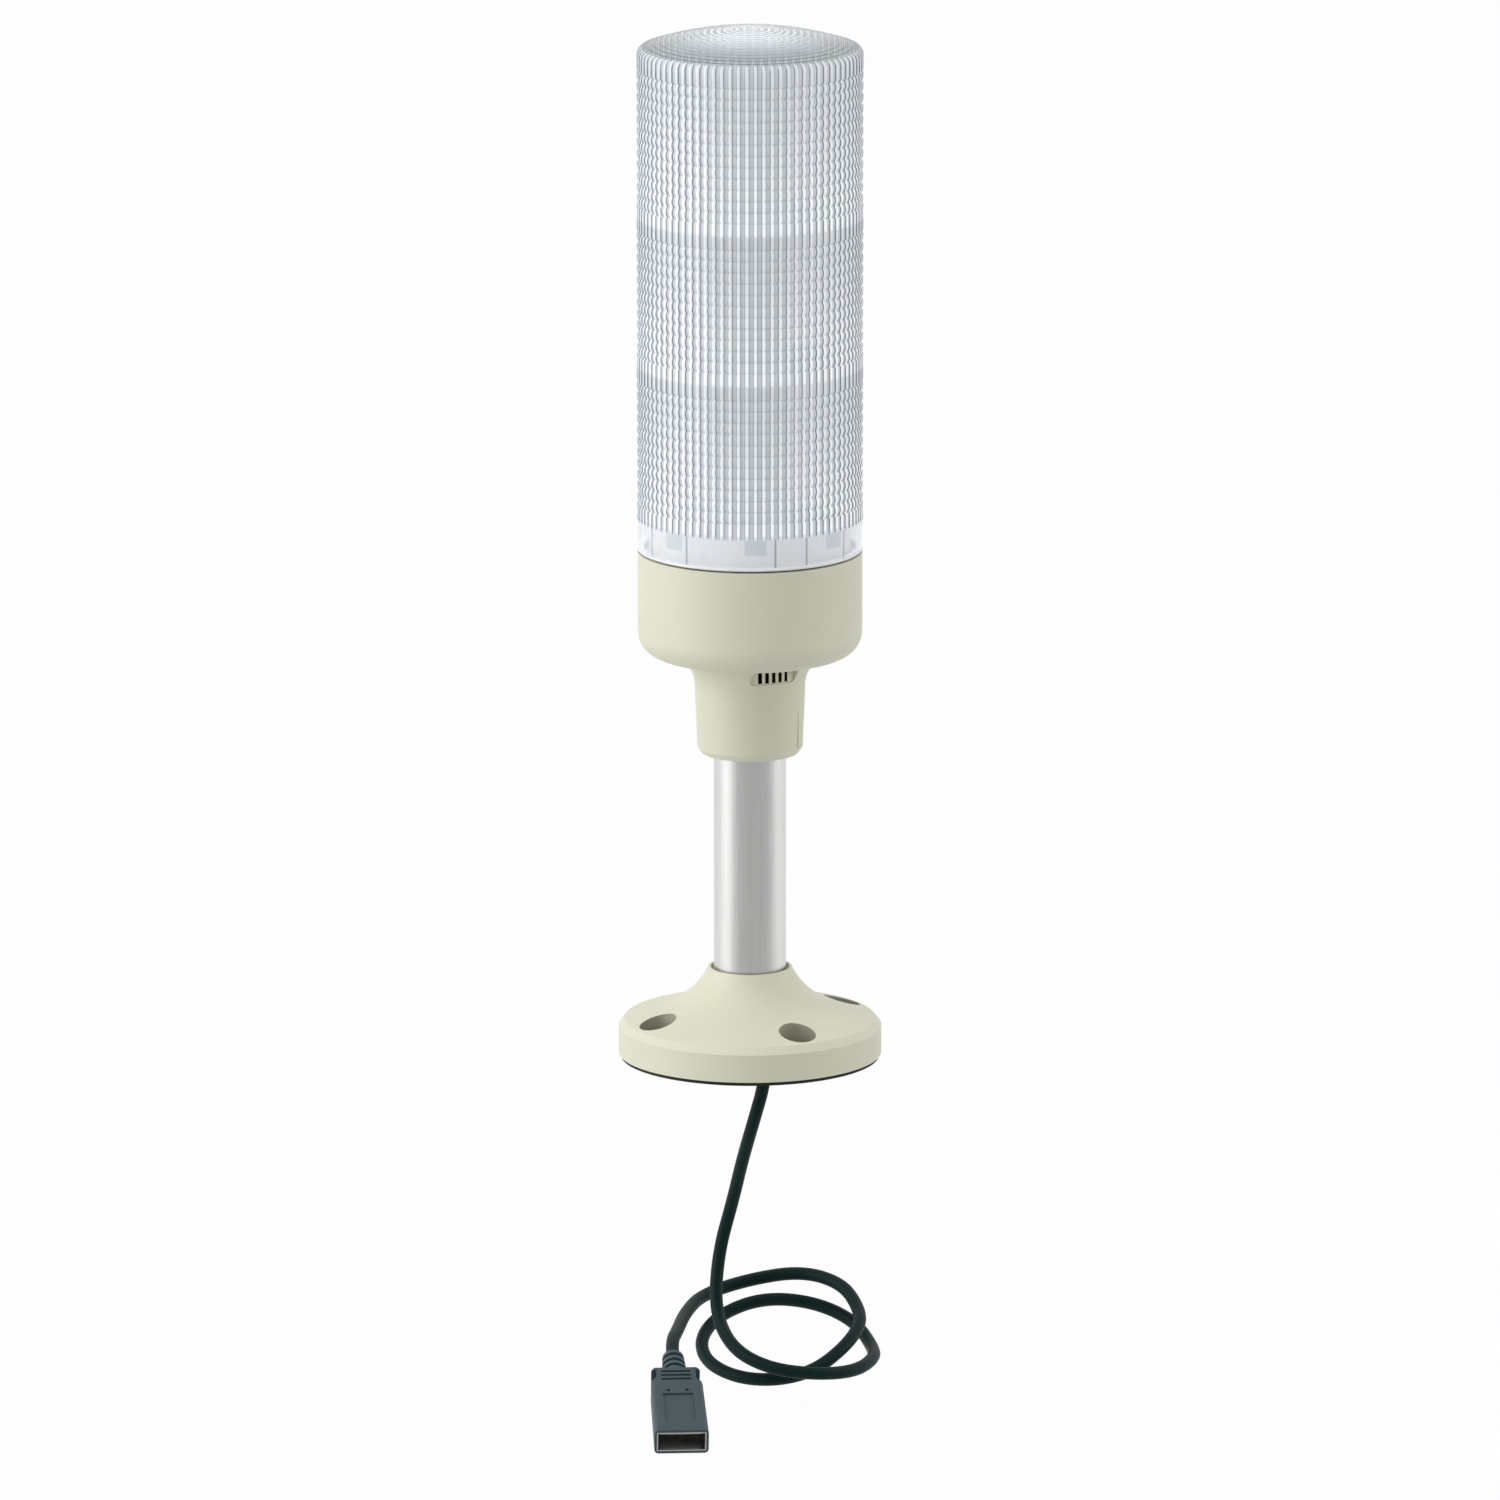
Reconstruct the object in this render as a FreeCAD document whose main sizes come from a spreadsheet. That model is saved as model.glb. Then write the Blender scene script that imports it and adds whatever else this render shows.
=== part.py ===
import FreeCAD, Part
import math
import operator
import os
import Sketcher

# A three-tier stack light on a pole. +Z is up and the origin is the centre of the gasket's
# underside. The front, with the sound slots and one base hole, faces -Y. Lengths are in
# millimetres and angles in degrees.
SIZES = {
    # Gasket and base
    "gasket_thickness": 1.0,
    "gasket_inset": 0.6,
    "gasket_opening": 17.0,
    "base_diameter": 70.0,
    "base_wall": 2.8,
    "base_side_height": 7.4,
    "base_edge_drop": 1.9,
    "base_edge_inset": 1.6,
    "base_slope": 16.6,
    "base_flare": 21.0,
    "base_height": 23.4,
    "base_floor": 3.0,
    "collar_diameter": 22.2,
    "collar_opening": 21.0,
    "collar_opening_depth": 1.6,
    "mount_hole": 5.5,
    "mount_inset": 7.5,
    "counterbore": 9.8,
    "counterbore_floor": 5.0,
    "boss_diameter": 14.4,
    "gland_flange": 19.0,
    "gland_flange_height": 0.8,
    "gland_length": 6.0,
    "gland_bore": 12.0,
    # Pole and its grub screws
    "pole_diameter": 19.2,
    "pole_wall": 1.5,
    "pole_length": 94.0,
    "pole_fit": 0.1,
    "grub_diameter": 4.0,
    "grub_length": 4.0,
    "grub_angle": 35.0,
    "base_grub_height": 16.0,
    "neck_grub_height": 8.0,
    # Housing
    "housing_diameter": 59.5,
    "housing_wall": 2.4,
    "housing_corner": 6.5,
    "bowl_height": 28.1,
    "neck_height": 26.5,
    "neck_top_diameter": 29.4,
    "neck_bottom_diameter": 28.0,
    "neck_edge": 1.6,
    "neck_fillet": 8.0,
    "neck_socket": 15.0,
    "neck_rib_width": 2.8,
    "neck_rib_height": 14.0,
    "neck_rib_start": 2.4,
    "neck_rib_stand": 0.45,
    "neck_rib_angle": 41.3,
    "socket_lip": 1.4,
    "socket_stop": 2.0,
    "sound_chamber": 22.0,
    "slot_width": 1.05,
    "slot_angle": 7.4,
    "slot_row_angle": -92.0,
    "slot_height": 3.8,
    "slot_edge_gap": 1.2,
    "slot_recess_width": 13.4,
    "slot_recess_stand": 0.1,
    "slot_recess_margin": 0.4,
    "slot_recess_round": 1.4,
    "ledge_depth": 4.0,
    "ledge_height": 2.0,
    "seal_diameter": 56.8,
    "seal_width": 1.0,
    "seal_height": 0.9,
    "seal_stand": 0.15,
    # Lens
    "lens_diameter": 60.0,
    "lens_bore": 56.0,
    "lens_height": 139.6,
    "lens_crown_rise": 4.6,
    "lens_corner": 2.1,
    "lens_roof": 2.0,
    "lens_gap": 0.3,
    "skirt_height": 8.3,
    "skirt_step": 0.2,
    "rib_depth": 0.5,
    "rib_groove_width": 1.6,
    "rib_start": 0.4,
    "tier_start": 1.2,
    "tier_roof_gap": 5.5,
    "lug_depth": 1.05,
    "lug_height": 1.6,
    "lug_lift": 0.6,
    "lug_gap": 0.4,
    "lug_root": 0.5,
    "lens_lug_width": 18.0,
    "collar_lug_width": 24.0,
    "lug_angle": 22.5,
    # Collar, boards and lamps
    "lock_clearance": 0.35,
    "lock_ring_wall": 1.5,
    "lock_ring_height": 12.0,
    "lock_ring_slot": 2.4,
    "lock_ring_slot_margin": 1.0,
    "post_circle": 41.0,
    "post_diameter": 6.8,
    "post_tip_diameter": 4.4,
    "post_clearance": 0.3,
    "post_height": 14.0,
    "board_thickness": 1.6,
    "control_board_diameter": 48.8,
    "lamp_board_width": 24.0,
    "lamp_board_top_gap": 1.65,
    "board_socket_height": 7.0,
    "board_socket_depth": 5.0,
    "board_socket_length": 28.0,
    "board_socket_width": 5.0,
    "board_fit": 0.05,
    "divider_diameter": 54.6,
    "divider_thickness": 1.2,
    "lamp_width": 3.5,
    "lamp_height": 2.8,
    "lamp_depth": 1.0,
    "lamp_column": 7.0,
    "lamp_row": 8.0,
    "screw_diameter": 2.4,
    "screw_head": 4.4,
    "screw_head_height": 1.5,
    "screw_length": 9.0,
    "chip_width": 9.0,
    "chip_height": 1.4,
    "capacitor_diameter": 6.4,
    "capacitor_height": 9.0,
    "buzzer_diameter": 12.0,
    "buzzer_height": 7.0,
    "buzzer_side": 3.0,
    "connector_length": 10.0,
    "connector_width": 6.0,
    "connector_height": 8.0,
    # Lead and its end
    "cord_diameter": 3.5,
    "cord_side_gap": 0.1,
    "cord_angle": -27.2,
    "plug_width": 14.4,
    "plug_back_width": 13.0,
    "plug_thickness": 7.2,
    "plug_length": 31.0,
    "plug_round": 1.2,
    "plug_scoop": 4.4,
    "plug_scoop_depth": 1.5,
    "dimple_diameter": 1.1,
    "dimple_pitch": 5.0,
    "dimple_depth": 0.5,
    "dimple_gap": 1.6,
    "grip_depth": 0.5,
    "grip_width": 0.9,
    "panel_depth": 0.4,
    "shell_width": 13.1,
    "shell_height": 5.7,
    "shell_sheet": 0.3,
    "shell_depth": 13.0,
    "tongue_width": 11.1,
    "tongue_height": 1.84,
    "tongue_length": 9.0,
    "tongue_drop": 0.7,
    "contact_width": 1.0,
    "contact_pitch": 2.2,
    "contact_thickness": 0.2,
    "relief_length": 10.0,
    "relief_diameter": 7.0,
    "relief_end_diameter": 5.8,
    "relief_groove": 0.7,
}

# Counts
HOLES = 4
SOUND_SLOTS = 5
LENS_RIBS = 84
TIERS = 3
LUGS = 4
POSTS = 3
LAMP_ROWS = 4
CONTACTS = 4
GRIPS = 3
RELIEF_GROOVES = 3

# The route of the free lead: across the view, towards the viewer, and height. It leaves the
# base, drops, makes two loose turns and ends at the strain relief.
ROUTE = [
    (4.15, 0.0, 0.0),
    (4.15, 0.0, -7.0),
    (1.0, -3.0, -19.0),
    (-2.0, -10.5, -31.5),
    (-4.5, -18.5, -44.5),
    (-8.5, -21.5, -60.0),
    (-9.5, -13.0, -74.0),
    (-5.0, 3.5, -80.0),
    (4.5, 11.0, -83.5),
    (17.0, 12.0, -85.0),
    (28.0, 5.5, -86.0),
    (33.5, -6.5, -85.5),
    (33.0, -18.5, -85.5),
    (28.0, -29.5, -81.0),
    (17.0, -35.5, -77.5),
    (3.5, -34.0, -76.0),
    (-8.0, -28.5, -79.0),
    (-13.5, -18.5, -83.0),
    (-12.0, -7.0, -86.5),
    (-4.0, 2.0, -88.5),
    (6.5, 5.5, -88.5),
    (17.0, 3.5, -86.5),
    (25.0, -3.5, -82.0),
    (29.5, -13.0, -78.5),
    (29.5, -21.5, -76.0),
    (25.0, -32.0, -71.5),
    (14.0, -39.5, -70.0),
    (-0.5, -40.0, -72.5),
    (-13.0, -31.5, -74.5),
    (-17.5, -16.0, -75.5),
    (-19.5, 1.0, -76.0),
    (-21.0, 12.0, -76.0),
    (-20.5, 20.0, -78.5),
]

# Shares of a longer size
CORNER_SHARE = 0.45
NECK_EDGE_SHARE = 0.7
SLOT_PLACE_SHARE = 0.7
PART_PLACE_SHARE = 0.5
BUZZER_PLACE_SHARE = 0.73
WAIST_SHARE = 0.24
PANEL_LENGTH_SHARE = 0.42
PANEL_WIDTH_SHARE = 0.56
PANEL_PLACE_SHARE = 0.62
GRIP_STEP_SHARE = 0.06
GRIP_LENGTH_SHARE = 0.6
CONTACT_LENGTH_SHARE = 0.8
WAIST_STEP_SHARE = 0.8
LONG_EDGE_SHARE = 0.3

document = FreeCAD.newDocument("StackLight")
sheet = document.addObject("Spreadsheet::Sheet", "Sizes")
for row, (alias, number) in enumerate(SIZES.items(), start=1):
    sheet.set(f"A{row}", alias)
    sheet.set(f"B{row}", str(number))
    sheet.setAlias(f"B{row}", alias)
document.recompute()


class Size:
    """A number with the expression that gives it, so that both follow the sheet."""

    SIGNS = {"+": operator.add, "-": operator.sub, "*": operator.mul, "/": operator.truediv}

    def __init__(self, value, text):
        self.value = float(value)
        self.text = text

    @staticmethod
    def of(thing):
        return thing if isinstance(thing, Size) else Size(thing, repr(float(thing)))

    @staticmethod
    def join(left, sign, right):
        left, right = Size.of(left), Size.of(right)
        value = Size.SIGNS[sign](left.value, right.value)
        return Size(value, f"({left.text} {sign} {right.text})")

    def __add__(self, other):
        return Size.join(self, "+", other)

    def __radd__(self, other):
        return Size.join(other, "+", self)

    def __sub__(self, other):
        return Size.join(self, "-", other)

    def __rsub__(self, other):
        return Size.join(other, "-", self)

    def __mul__(self, other):
        return Size.join(self, "*", other)

    def __rmul__(self, other):
        return Size.join(other, "*", self)

    def __truediv__(self, other):
        return Size.join(self, "/", other)

    def __neg__(self):
        return Size.join(0, "-", self)


def size(alias):
    return Size(sheet.get(alias), f"Sizes.{alias}")


def sine(angle):
    angle = Size.of(angle)
    return Size(math.sin(math.radians(angle.value)), f"sin({angle.text})")


def cosine(angle):
    angle = Size.of(angle)
    return Size(math.cos(math.radians(angle.value)), f"cos({angle.text})")


def root(number):
    return Size(math.sqrt(number.value), f"sqrt({number.text})")


def bind(thing, **sizes):
    """Ties properties of an object to the sheet."""
    for name, number in sizes.items():
        thing.setExpression(name, Size.of(number).text)


def move(thing, x=0, y=0, z=0):
    """Ties an object's place to the sheet."""
    for axis, number in zip("xyz", (x, y, z)):
        thing.setExpression(f"Placement.Base.{axis}", Size.of(number).text)
    return thing


def cylinder(name, diameter, height, x=0, y=0, z=0):
    made = document.addObject("Part::Cylinder", name)
    bind(made, Radius=Size.of(diameter) / 2, Height=height)
    return move(made, x, y, z)


def block(name, length, width, height, x=0, y=0, z=0):
    """A box centred on x and y, with its underside at z."""
    made = document.addObject("Part::Box", name)
    bind(made, Length=length, Width=width, Height=height)
    return move(made, x - Size.of(length) / 2, y - Size.of(width) / 2, z)


def turned(thing, angle):
    """Turns an object about the pole's axis, wherever it stands."""
    holder = document.addObject("Part::Compound", f"{thing.Name}_turned")
    holder.Links = [thing]
    holder.Placement = FreeCAD.Placement(FreeCAD.Vector(), FreeCAD.Rotation(FreeCAD.Vector(0, 0, 1), 0))
    holder.setExpression("Placement.Rotation.Angle", Size.of(angle).text)
    return holder


def cut(name, body, tool):
    made = document.addObject("Part::Cut", name)
    made.Base = body
    made.Tool = tool
    return made


def fuse(name, pieces):
    made = document.addObject("Part::MultiFuse", name)
    made.Shapes = pieces
    return made


def group(name, pieces):
    made = document.addObject("Part::Compound", name)
    made.Links = pieces
    return made


def around(circle, angle):
    """The x and y of a point on a circle round the pole's axis."""
    return circle / 2 * cosine(angle), circle / 2 * sine(angle)


def plane_of(body, role):
    return next(f for f in body.Origin.OriginFeatures if f.Role == role)


def arc_between(start, end, radius, side):
    """An arc of a sketch, anticlockwise, and whether it runs from start to end."""
    first = FreeCAD.Vector(start[0].value, start[1].value, 0)
    last = FreeCAD.Vector(end[0].value, end[1].value, 0)
    chord = last - first
    reach = math.sqrt(max(radius.value**2 - (chord.Length / 2) ** 2, 0))
    left = FreeCAD.Vector(-chord.y, chord.x, 0).normalize()
    centre = (first + last) * 0.5 + left * reach * side
    if side < 0:
        first, last = last, first
    angles = [math.atan2(p.y - centre.y, p.x - centre.x) for p in (first, last)]
    circle = Part.Circle(centre, FreeCAD.Vector(0, 0, 1), radius.value)
    return Part.ArcOfCircle(circle, angles[0], angles[1]), side > 0


def draw(sketch, corners, arcs=None):
    """Draws a closed outline through corners, each tied to the sheet.

    arcs gives the radius and the side of the centre for runs that are round: 1 is to the left
    of the way from the corner to the next, -1 to the right.
    """
    arcs = arcs or {}
    corners = [(Size.of(x), Size.of(y)) for x, y in corners]
    ends = []
    for number, start in enumerate(corners):
        end = corners[(number + 1) % len(corners)]
        if number in arcs:
            radius, side = arcs[number]
            shape, forwards = arc_between(start, end, radius, side)
            made = sketch.addGeometry(shape, False)
            fixed = sketch.addConstraint(Sketcher.Constraint("Radius", made, radius.value))
            sketch.setExpression(f"Constraints[{fixed}]", radius.text)
            ends.append((made, 1 if forwards else 2, 2 if forwards else 1))
        else:
            points = [FreeCAD.Vector(x.value, y.value, 0) for x, y in (start, end)]
            ends.append((sketch.addGeometry(Part.LineSegment(*points), False), 1, 2))
    for number, (made, first, last) in enumerate(ends):
        following, beginning, _ = ends[(number + 1) % len(ends)]
        sketch.addConstraint(Sketcher.Constraint("Coincident", made, last, following, beginning))
        for kind, place in zip(("DistanceX", "DistanceY"), corners[number]):
            fixed = sketch.addConstraint(Sketcher.Constraint(kind, -1, 1, made, first, place.value))
            sketch.setExpression(f"Constraints[{fixed}]", place.text)


def new_sketch(body, name, role, height=None):
    """A sketch on one of a body's own planes, raised by a height."""
    sketch = body.newObject("Sketcher::SketchObject", name)
    sketch.AttachmentSupport = [(plane_of(body, role), "")]
    sketch.MapMode = "FlatFace"
    if height is not None:
        sketch.setExpression("AttachmentOffset.Base.z", height.text)
    return sketch


def turned_body(name, corners, arcs=None):
    """A body turned about the vertical axis from its half section."""
    body = document.addObject("PartDesign::Body", name)
    sketch = new_sketch(body, f"{name}_section", "XZ_Plane")
    draw(sketch, corners, arcs)
    turn = body.newObject("PartDesign::Revolution", f"{name}_turn")
    turn.Profile = sketch
    turn.ReferenceAxis = (sketch, ["V_Axis"])
    turn.Angle = 360
    return body


# Levels that several pieces share
BASE_BOTTOM = size("gasket_thickness")
POLE_BOTTOM = BASE_BOTTOM + size("base_floor")
POLE_TOP = POLE_BOTTOM + size("pole_length")
NECK_BOTTOM = POLE_TOP - size("neck_socket")
BOWL_BOTTOM = NECK_BOTTOM + size("neck_height")
BOWL_FLOOR = BOWL_BOTTOM + size("housing_wall")
HOUSING_TOP = BOWL_BOTTOM + size("bowl_height")
LEDGE = HOUSING_TOP - size("ledge_depth")
SEAL_TOP = HOUSING_TOP + size("seal_stand")
LENS_BOTTOM = SEAL_TOP + size("lens_gap")
LENS_TOP = LENS_BOTTOM + size("lens_height")
BOARD = BOWL_FLOOR + size("post_height")
BOARD_TOP = BOARD + size("board_thickness")
PLATE_TOP = LEDGE + size("lock_ring_height")
PLATE = PLATE_TOP - size("lock_ring_wall")
SLOT_BOTTOM = BOWL_BOTTOM - size("slot_height") - size("slot_edge_gap")
LOWEST_TIER = LENS_BOTTOM + size("skirt_height") + size("tier_start")
LUG_TOP = LENS_BOTTOM + size("lug_lift") + size("lug_height")

TIERS_TOP = LENS_TOP - size("lens_crown_rise") - size("tier_roof_gap")
TIER = (TIERS_TOP - LOWEST_TIER) / TIERS

BORE = size("pole_diameter") + 2 * size("pole_fit")
MOUNT_CIRCLE = size("base_diameter") - 2 * size("mount_inset")
LOCK_RING = size("lens_bore") - 2 * size("lug_depth") - 2 * size("lock_clearance")
POST_ANGLES = [90 + 360 / POSTS * number for number in range(POSTS)]
SCREW_ANGLES = [0, 180]
CORD_REACH = size("gland_bore") / 2 - size("cord_diameter") / 2 - size("cord_side_gap")
CORD_X = CORD_REACH * cosine(size("cord_angle"))
CORD_Y = CORD_REACH * sine(size("cord_angle"))


def lying(name, diameter, length, x, y, z):
    """A cylinder that lies along x."""
    made = document.addObject("Part::Cylinder", name)
    bind(made, Radius=Size.of(diameter) / 2, Height=length)
    made.Placement = FreeCAD.Placement(FreeCAD.Vector(), FreeCAD.Rotation(FreeCAD.Vector(0, 1, 0), 90))
    return move(made, x, y, z)


def grub_tool(name, diameter, length, reach, height, angle):
    """A cylinder that points out from the pole, lying at a height."""
    return turned(lying(name, diameter, length, reach, 0, height), angle)


def grub_angles():
    return [90 + size("grub_angle") * side for side in (-1, 1)]


def grub_heights():
    return {"base": size("base_grub_height"), "neck": NECK_BOTTOM + size("neck_grub_height")}


def grub_holes(where):
    """The tapped holes of one end of the pole, long enough to come out of the moulding."""
    return [
        grub_tool(
            f"{where}_tapping_{number}",
            size("grub_diameter") + 2 * size("board_fit"),
            size("collar_diameter"),
            size("pole_diameter") / 2 - size("pole_wall"),
            grub_heights()[where],
            angle,
        )
        for number, angle in enumerate(grub_angles())
    ]


def make_gasket():
    """A sheet ring with the base's four holes."""
    thickness = size("gasket_thickness")
    disc = cylinder("gasket_disc", size("base_diameter") - 2 * size("gasket_inset"), thickness)
    openings = [cylinder("gasket_middle", size("gasket_opening"), thickness)]
    for number in range(HOLES):
        x, y = around(MOUNT_CIRCLE, 360 / HOLES * number - 90)
        openings.append(cylinder(f"gasket_hole_{number}", size("mount_hole"), thickness, x, y))
    return cut("gasket_sheet", disc, fuse("gasket_openings", openings))


def flare_start():
    """Where the base's sloping top meets the flare, worked out so that the two are tangent."""
    edge_x = size("base_diameter") / 2 - size("base_edge_inset")
    edge_z = BASE_BOTTOM + size("base_side_height") + size("base_edge_drop")
    inwards = (-cosine(size("base_slope")), sine(size("base_slope")))
    outwards = (sine(size("base_slope")), cosine(size("base_slope")))
    to_edge = (edge_x - size("collar_diameter") / 2, edge_z - BASE_BOTTOM - size("base_height"))
    along = to_edge[0] * inwards[0] + to_edge[1] * inwards[1]
    across = to_edge[0] * outwards[0] + to_edge[1] * outwards[1]
    gap = to_edge[0] * to_edge[0] + to_edge[1] * to_edge[1]
    run = -along - root(along * along - gap - 2 * size("base_flare") * across)
    return (edge_x, edge_z), (edge_x + run * inwards[0], edge_z + run * inwards[1])


def make_base():
    """The bracket: a flared shell with bosses for four counterbored screws and the pole's socket."""
    outer = size("base_diameter") / 2
    edge, flare = flare_start()
    collar_top = BASE_BOTTOM + size("base_height")
    opening_floor = collar_top - size("collar_opening_depth")
    flange_top = BASE_BOTTOM + size("gland_flange_height")
    gland = gland_body_diameter() / 2 + size("board_fit")
    flange = size("gland_flange") / 2 + size("board_fit")
    shell = turned_body(
        "base_shell",
        [
            (outer, BASE_BOTTOM),
            (outer, BASE_BOTTOM + size("base_side_height")),
            edge,
            flare,
            (size("collar_diameter") / 2, collar_top),
            (size("collar_opening") / 2, collar_top),
            (size("collar_opening") / 2, opening_floor),
            (BORE / 2, opening_floor),
            (BORE / 2, POLE_BOTTOM),
            (gland, POLE_BOTTOM),
            (gland, flange_top),
            (flange, flange_top),
            (flange, BASE_BOTTOM),
        ],
        {3: (size("base_flare"), -1)},
    )
    wall = size("base_wall")
    socket = BORE / 2 + wall
    hollow = turned_body(
        "base_hollow",
        [
            (outer - wall, 0),
            (outer - wall, BASE_BOTTOM + size("base_side_height") - wall / 2),
            (flare[0], flare[1] - wall),
            (socket, flare[1]),
            (socket, 0),
        ],
    )
    bosses, holes = [], []
    for number in range(HOLES):
        x, y = around(MOUNT_CIRCLE, 360 / HOLES * number - 90)
        bosses.append(cylinder(f"boss_{number}", size("boss_diameter"), size("base_height"), x, y))
        holes.append(cylinder(f"mount_hole_{number}", size("mount_hole"), size("base_height"), x, y))
        floor = BASE_BOTTOM + size("counterbore_floor")
        width = size("counterbore")
        holes.append(cylinder(f"counterbore_{number}", width, size("base_height"), x, y, floor))
    room = cut("base_room", hollow, fuse("bosses", bosses))
    moulding = cut("base_moulding", shell, room)
    return cut("base_bored", moulding, fuse("base_holes", holes + grub_holes("base")))


def gland_body_diameter():
    return size("pole_diameter") - 2 * size("pole_wall") - 2 * size("pole_fit")


def make_pole_bush():
    """The flanged bush that lines the lower mouth of the pole."""
    inner = size("gland_bore") / 2
    body = gland_body_diameter() / 2
    flange = size("gland_flange") / 2
    flange_top = BASE_BOTTOM + size("gland_flange_height")
    top = BASE_BOTTOM + size("gland_length")
    return turned_body(
        "bush",
        [
            (inner, BASE_BOTTOM),
            (flange, BASE_BOTTOM),
            (flange, flange_top),
            (body, flange_top),
            (body, top),
            (inner, top),
        ],
    )


def make_pole():
    diameter, length = size("pole_diameter"), size("pole_length")
    tube = cylinder("pole_tube", diameter, length, z=POLE_BOTTOM)
    bore = cylinder("pole_bore", diameter - 2 * size("pole_wall"), length, z=POLE_BOTTOM)
    return cut("pole_wall_cut", tube, bore)


def make_grub_screws():
    """Four grub screws whose tips press on the pole."""
    screws = [
        grub_tool(
            f"grub_{where}_{number}",
            size("grub_diameter"),
            size("grub_length"),
            size("pole_diameter") / 2,
            height,
            angle,
        )
        for where, height in grub_heights().items()
        for number, angle in enumerate(grub_angles())
    ]
    return group("grub_screws", screws)


def housing_section():
    """The half section of the one-piece bowl and neck, and its round runs."""
    neck_top = size("neck_top_diameter") / 2
    neck_low = size("neck_bottom_diameter") / 2
    fillet = size("neck_fillet")
    outer = size("housing_diameter") / 2
    corner = size("housing_corner")
    inner = outer - size("housing_wall")
    ledge = LOCK_RING / 2 - size("lock_ring_wall")
    ring_room = LOCK_RING / 2 + size("board_fit") * 3
    seal_out = size("seal_diameter") / 2 + size("board_fit")
    seal_in = size("seal_diameter") / 2 - size("seal_width") - size("board_fit")
    seal_floor = SEAL_TOP - size("seal_height")
    ledge_floor = LEDGE - size("ledge_height")
    stop_top = POLE_TOP + size("socket_stop")
    corners = [
        (BORE / 2, NECK_BOTTOM),
        (neck_low - size("neck_edge") * NECK_EDGE_SHARE, NECK_BOTTOM),
        (neck_low, NECK_BOTTOM + size("neck_edge")),
        (neck_top, BOWL_BOTTOM - fillet),
        (neck_top + fillet, BOWL_BOTTOM),
        (outer - corner, BOWL_BOTTOM),
        (outer, BOWL_BOTTOM + corner),
        (outer, HOUSING_TOP),
        (seal_out, HOUSING_TOP),
        (seal_out, seal_floor),
        (seal_in, seal_floor),
        (seal_in, HOUSING_TOP),
        (ring_room, HOUSING_TOP),
        (ring_room, LEDGE),
        (ledge, LEDGE),
        (ledge, ledge_floor),
        (inner, ledge_floor - (inner - ledge)),
        (inner, BOWL_BOTTOM + corner),
        (outer - corner, BOWL_FLOOR),
        (size("sound_chamber") / 2, BOWL_FLOOR),
        (size("sound_chamber") / 2, stop_top),
        (BORE / 2 - size("socket_lip"), stop_top),
        (BORE / 2 - size("socket_lip"), POLE_TOP),
        (BORE / 2, POLE_TOP),
    ]
    arcs = {3: (fillet, -1), 5: (corner, 1), 17: (corner - size("housing_wall") / 2, -1)}
    return corners, arcs


def make_slot_recess():
    """The room cut out under the bowl's front, so that the sound slots open in an upright wall."""
    side = size("slot_recess_width") / 2
    bend = size("slot_recess_round")
    low = SLOT_BOTTOM - size("slot_recess_margin")
    high = SLOT_BOTTOM + size("slot_height") + size("slot_recess_margin")
    body = document.addObject("PartDesign::Body", "recess_block")
    sketch = new_sketch(body, "recess_outline", "XZ_Plane")
    draw(
        sketch,
        [
            (bend - side, low),
            (side - bend, low),
            (side, low + bend),
            (side, high),
            (-side, high),
            (-side, low + bend),
        ],
        {1: (bend, 1), 5: (bend, 1)},
    )
    pad = body.newObject("PartDesign::Pad", "recess_pad")
    pad.Profile = sketch
    bind(pad, Length=size("housing_diameter") / 2)
    wall = size("neck_top_diameter") + 2 * size("slot_recess_stand")
    core = cylinder("recess_core", wall, size("neck_height"), z=NECK_BOTTOM)
    return turned(cut("recess_room", body, core), size("slot_row_angle") + 90)


def make_housing():
    """The ivory body: bowl and neck in one, with posts inside and sound slots at the front."""
    corners, arcs = housing_section()
    shell = turned_body("housing_shell", corners, arcs)
    added = [shell]
    width, height = size("post_diameter"), BOARD - BOWL_FLOOR
    for number, angle in enumerate(POST_ANGLES):
        x, y = around(size("post_circle"), angle)
        added.append(cylinder(f"post_{number}", width, height, x, y, BOWL_FLOOR))
        tip = size("post_tip_diameter")
        added.append(cylinder(f"post_tip_{number}", tip, PLATE - BOARD, x, y, BOARD))
    for number, angle in enumerate(SCREW_ANGLES):
        x, y = around(size("post_circle"), angle)
        added.append(cylinder(f"short_post_{number}", width, height, x, y, BOWL_FLOOR))
    rib_reach = size("neck_bottom_diameter") / 2 + size("neck_rib_stand")
    rib_root = BORE / 2 + size("pole_wall")
    rib = block(
        "neck_rib",
        rib_reach - rib_root,
        size("neck_rib_width"),
        size("neck_rib_height"),
        (rib_reach + rib_root) / 2,
        0,
        NECK_BOTTOM + size("neck_rib_start"),
    )
    added.append(turned(rib, size("neck_rib_angle") - 90))
    removed = grub_holes("neck") + [make_slot_recess()]
    for number in range(SOUND_SLOTS):
        slot = block(
            f"sound_slot_{number}",
            size("sound_chamber") / 2,
            size("slot_width"),
            size("slot_height"),
            size("sound_chamber") * SLOT_PLACE_SHARE,
            0,
            SLOT_BOTTOM,
        )
        step = number - (SOUND_SLOTS - 1) / 2
        removed.append(turned(slot, size("slot_row_angle") + size("slot_angle") * step))
    for name, x, y, z in screw_places():
        removed.append(screw_shank(f"{name}_pilot", x, y, z))
    return cut("housing_cut", fuse("housing_solid", added), fuse("housing_openings", removed))


def screw_shank(name, x, y, top):
    length = size("screw_length")
    return cylinder(name, size("screw_diameter"), length, x, y, top - length)


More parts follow.
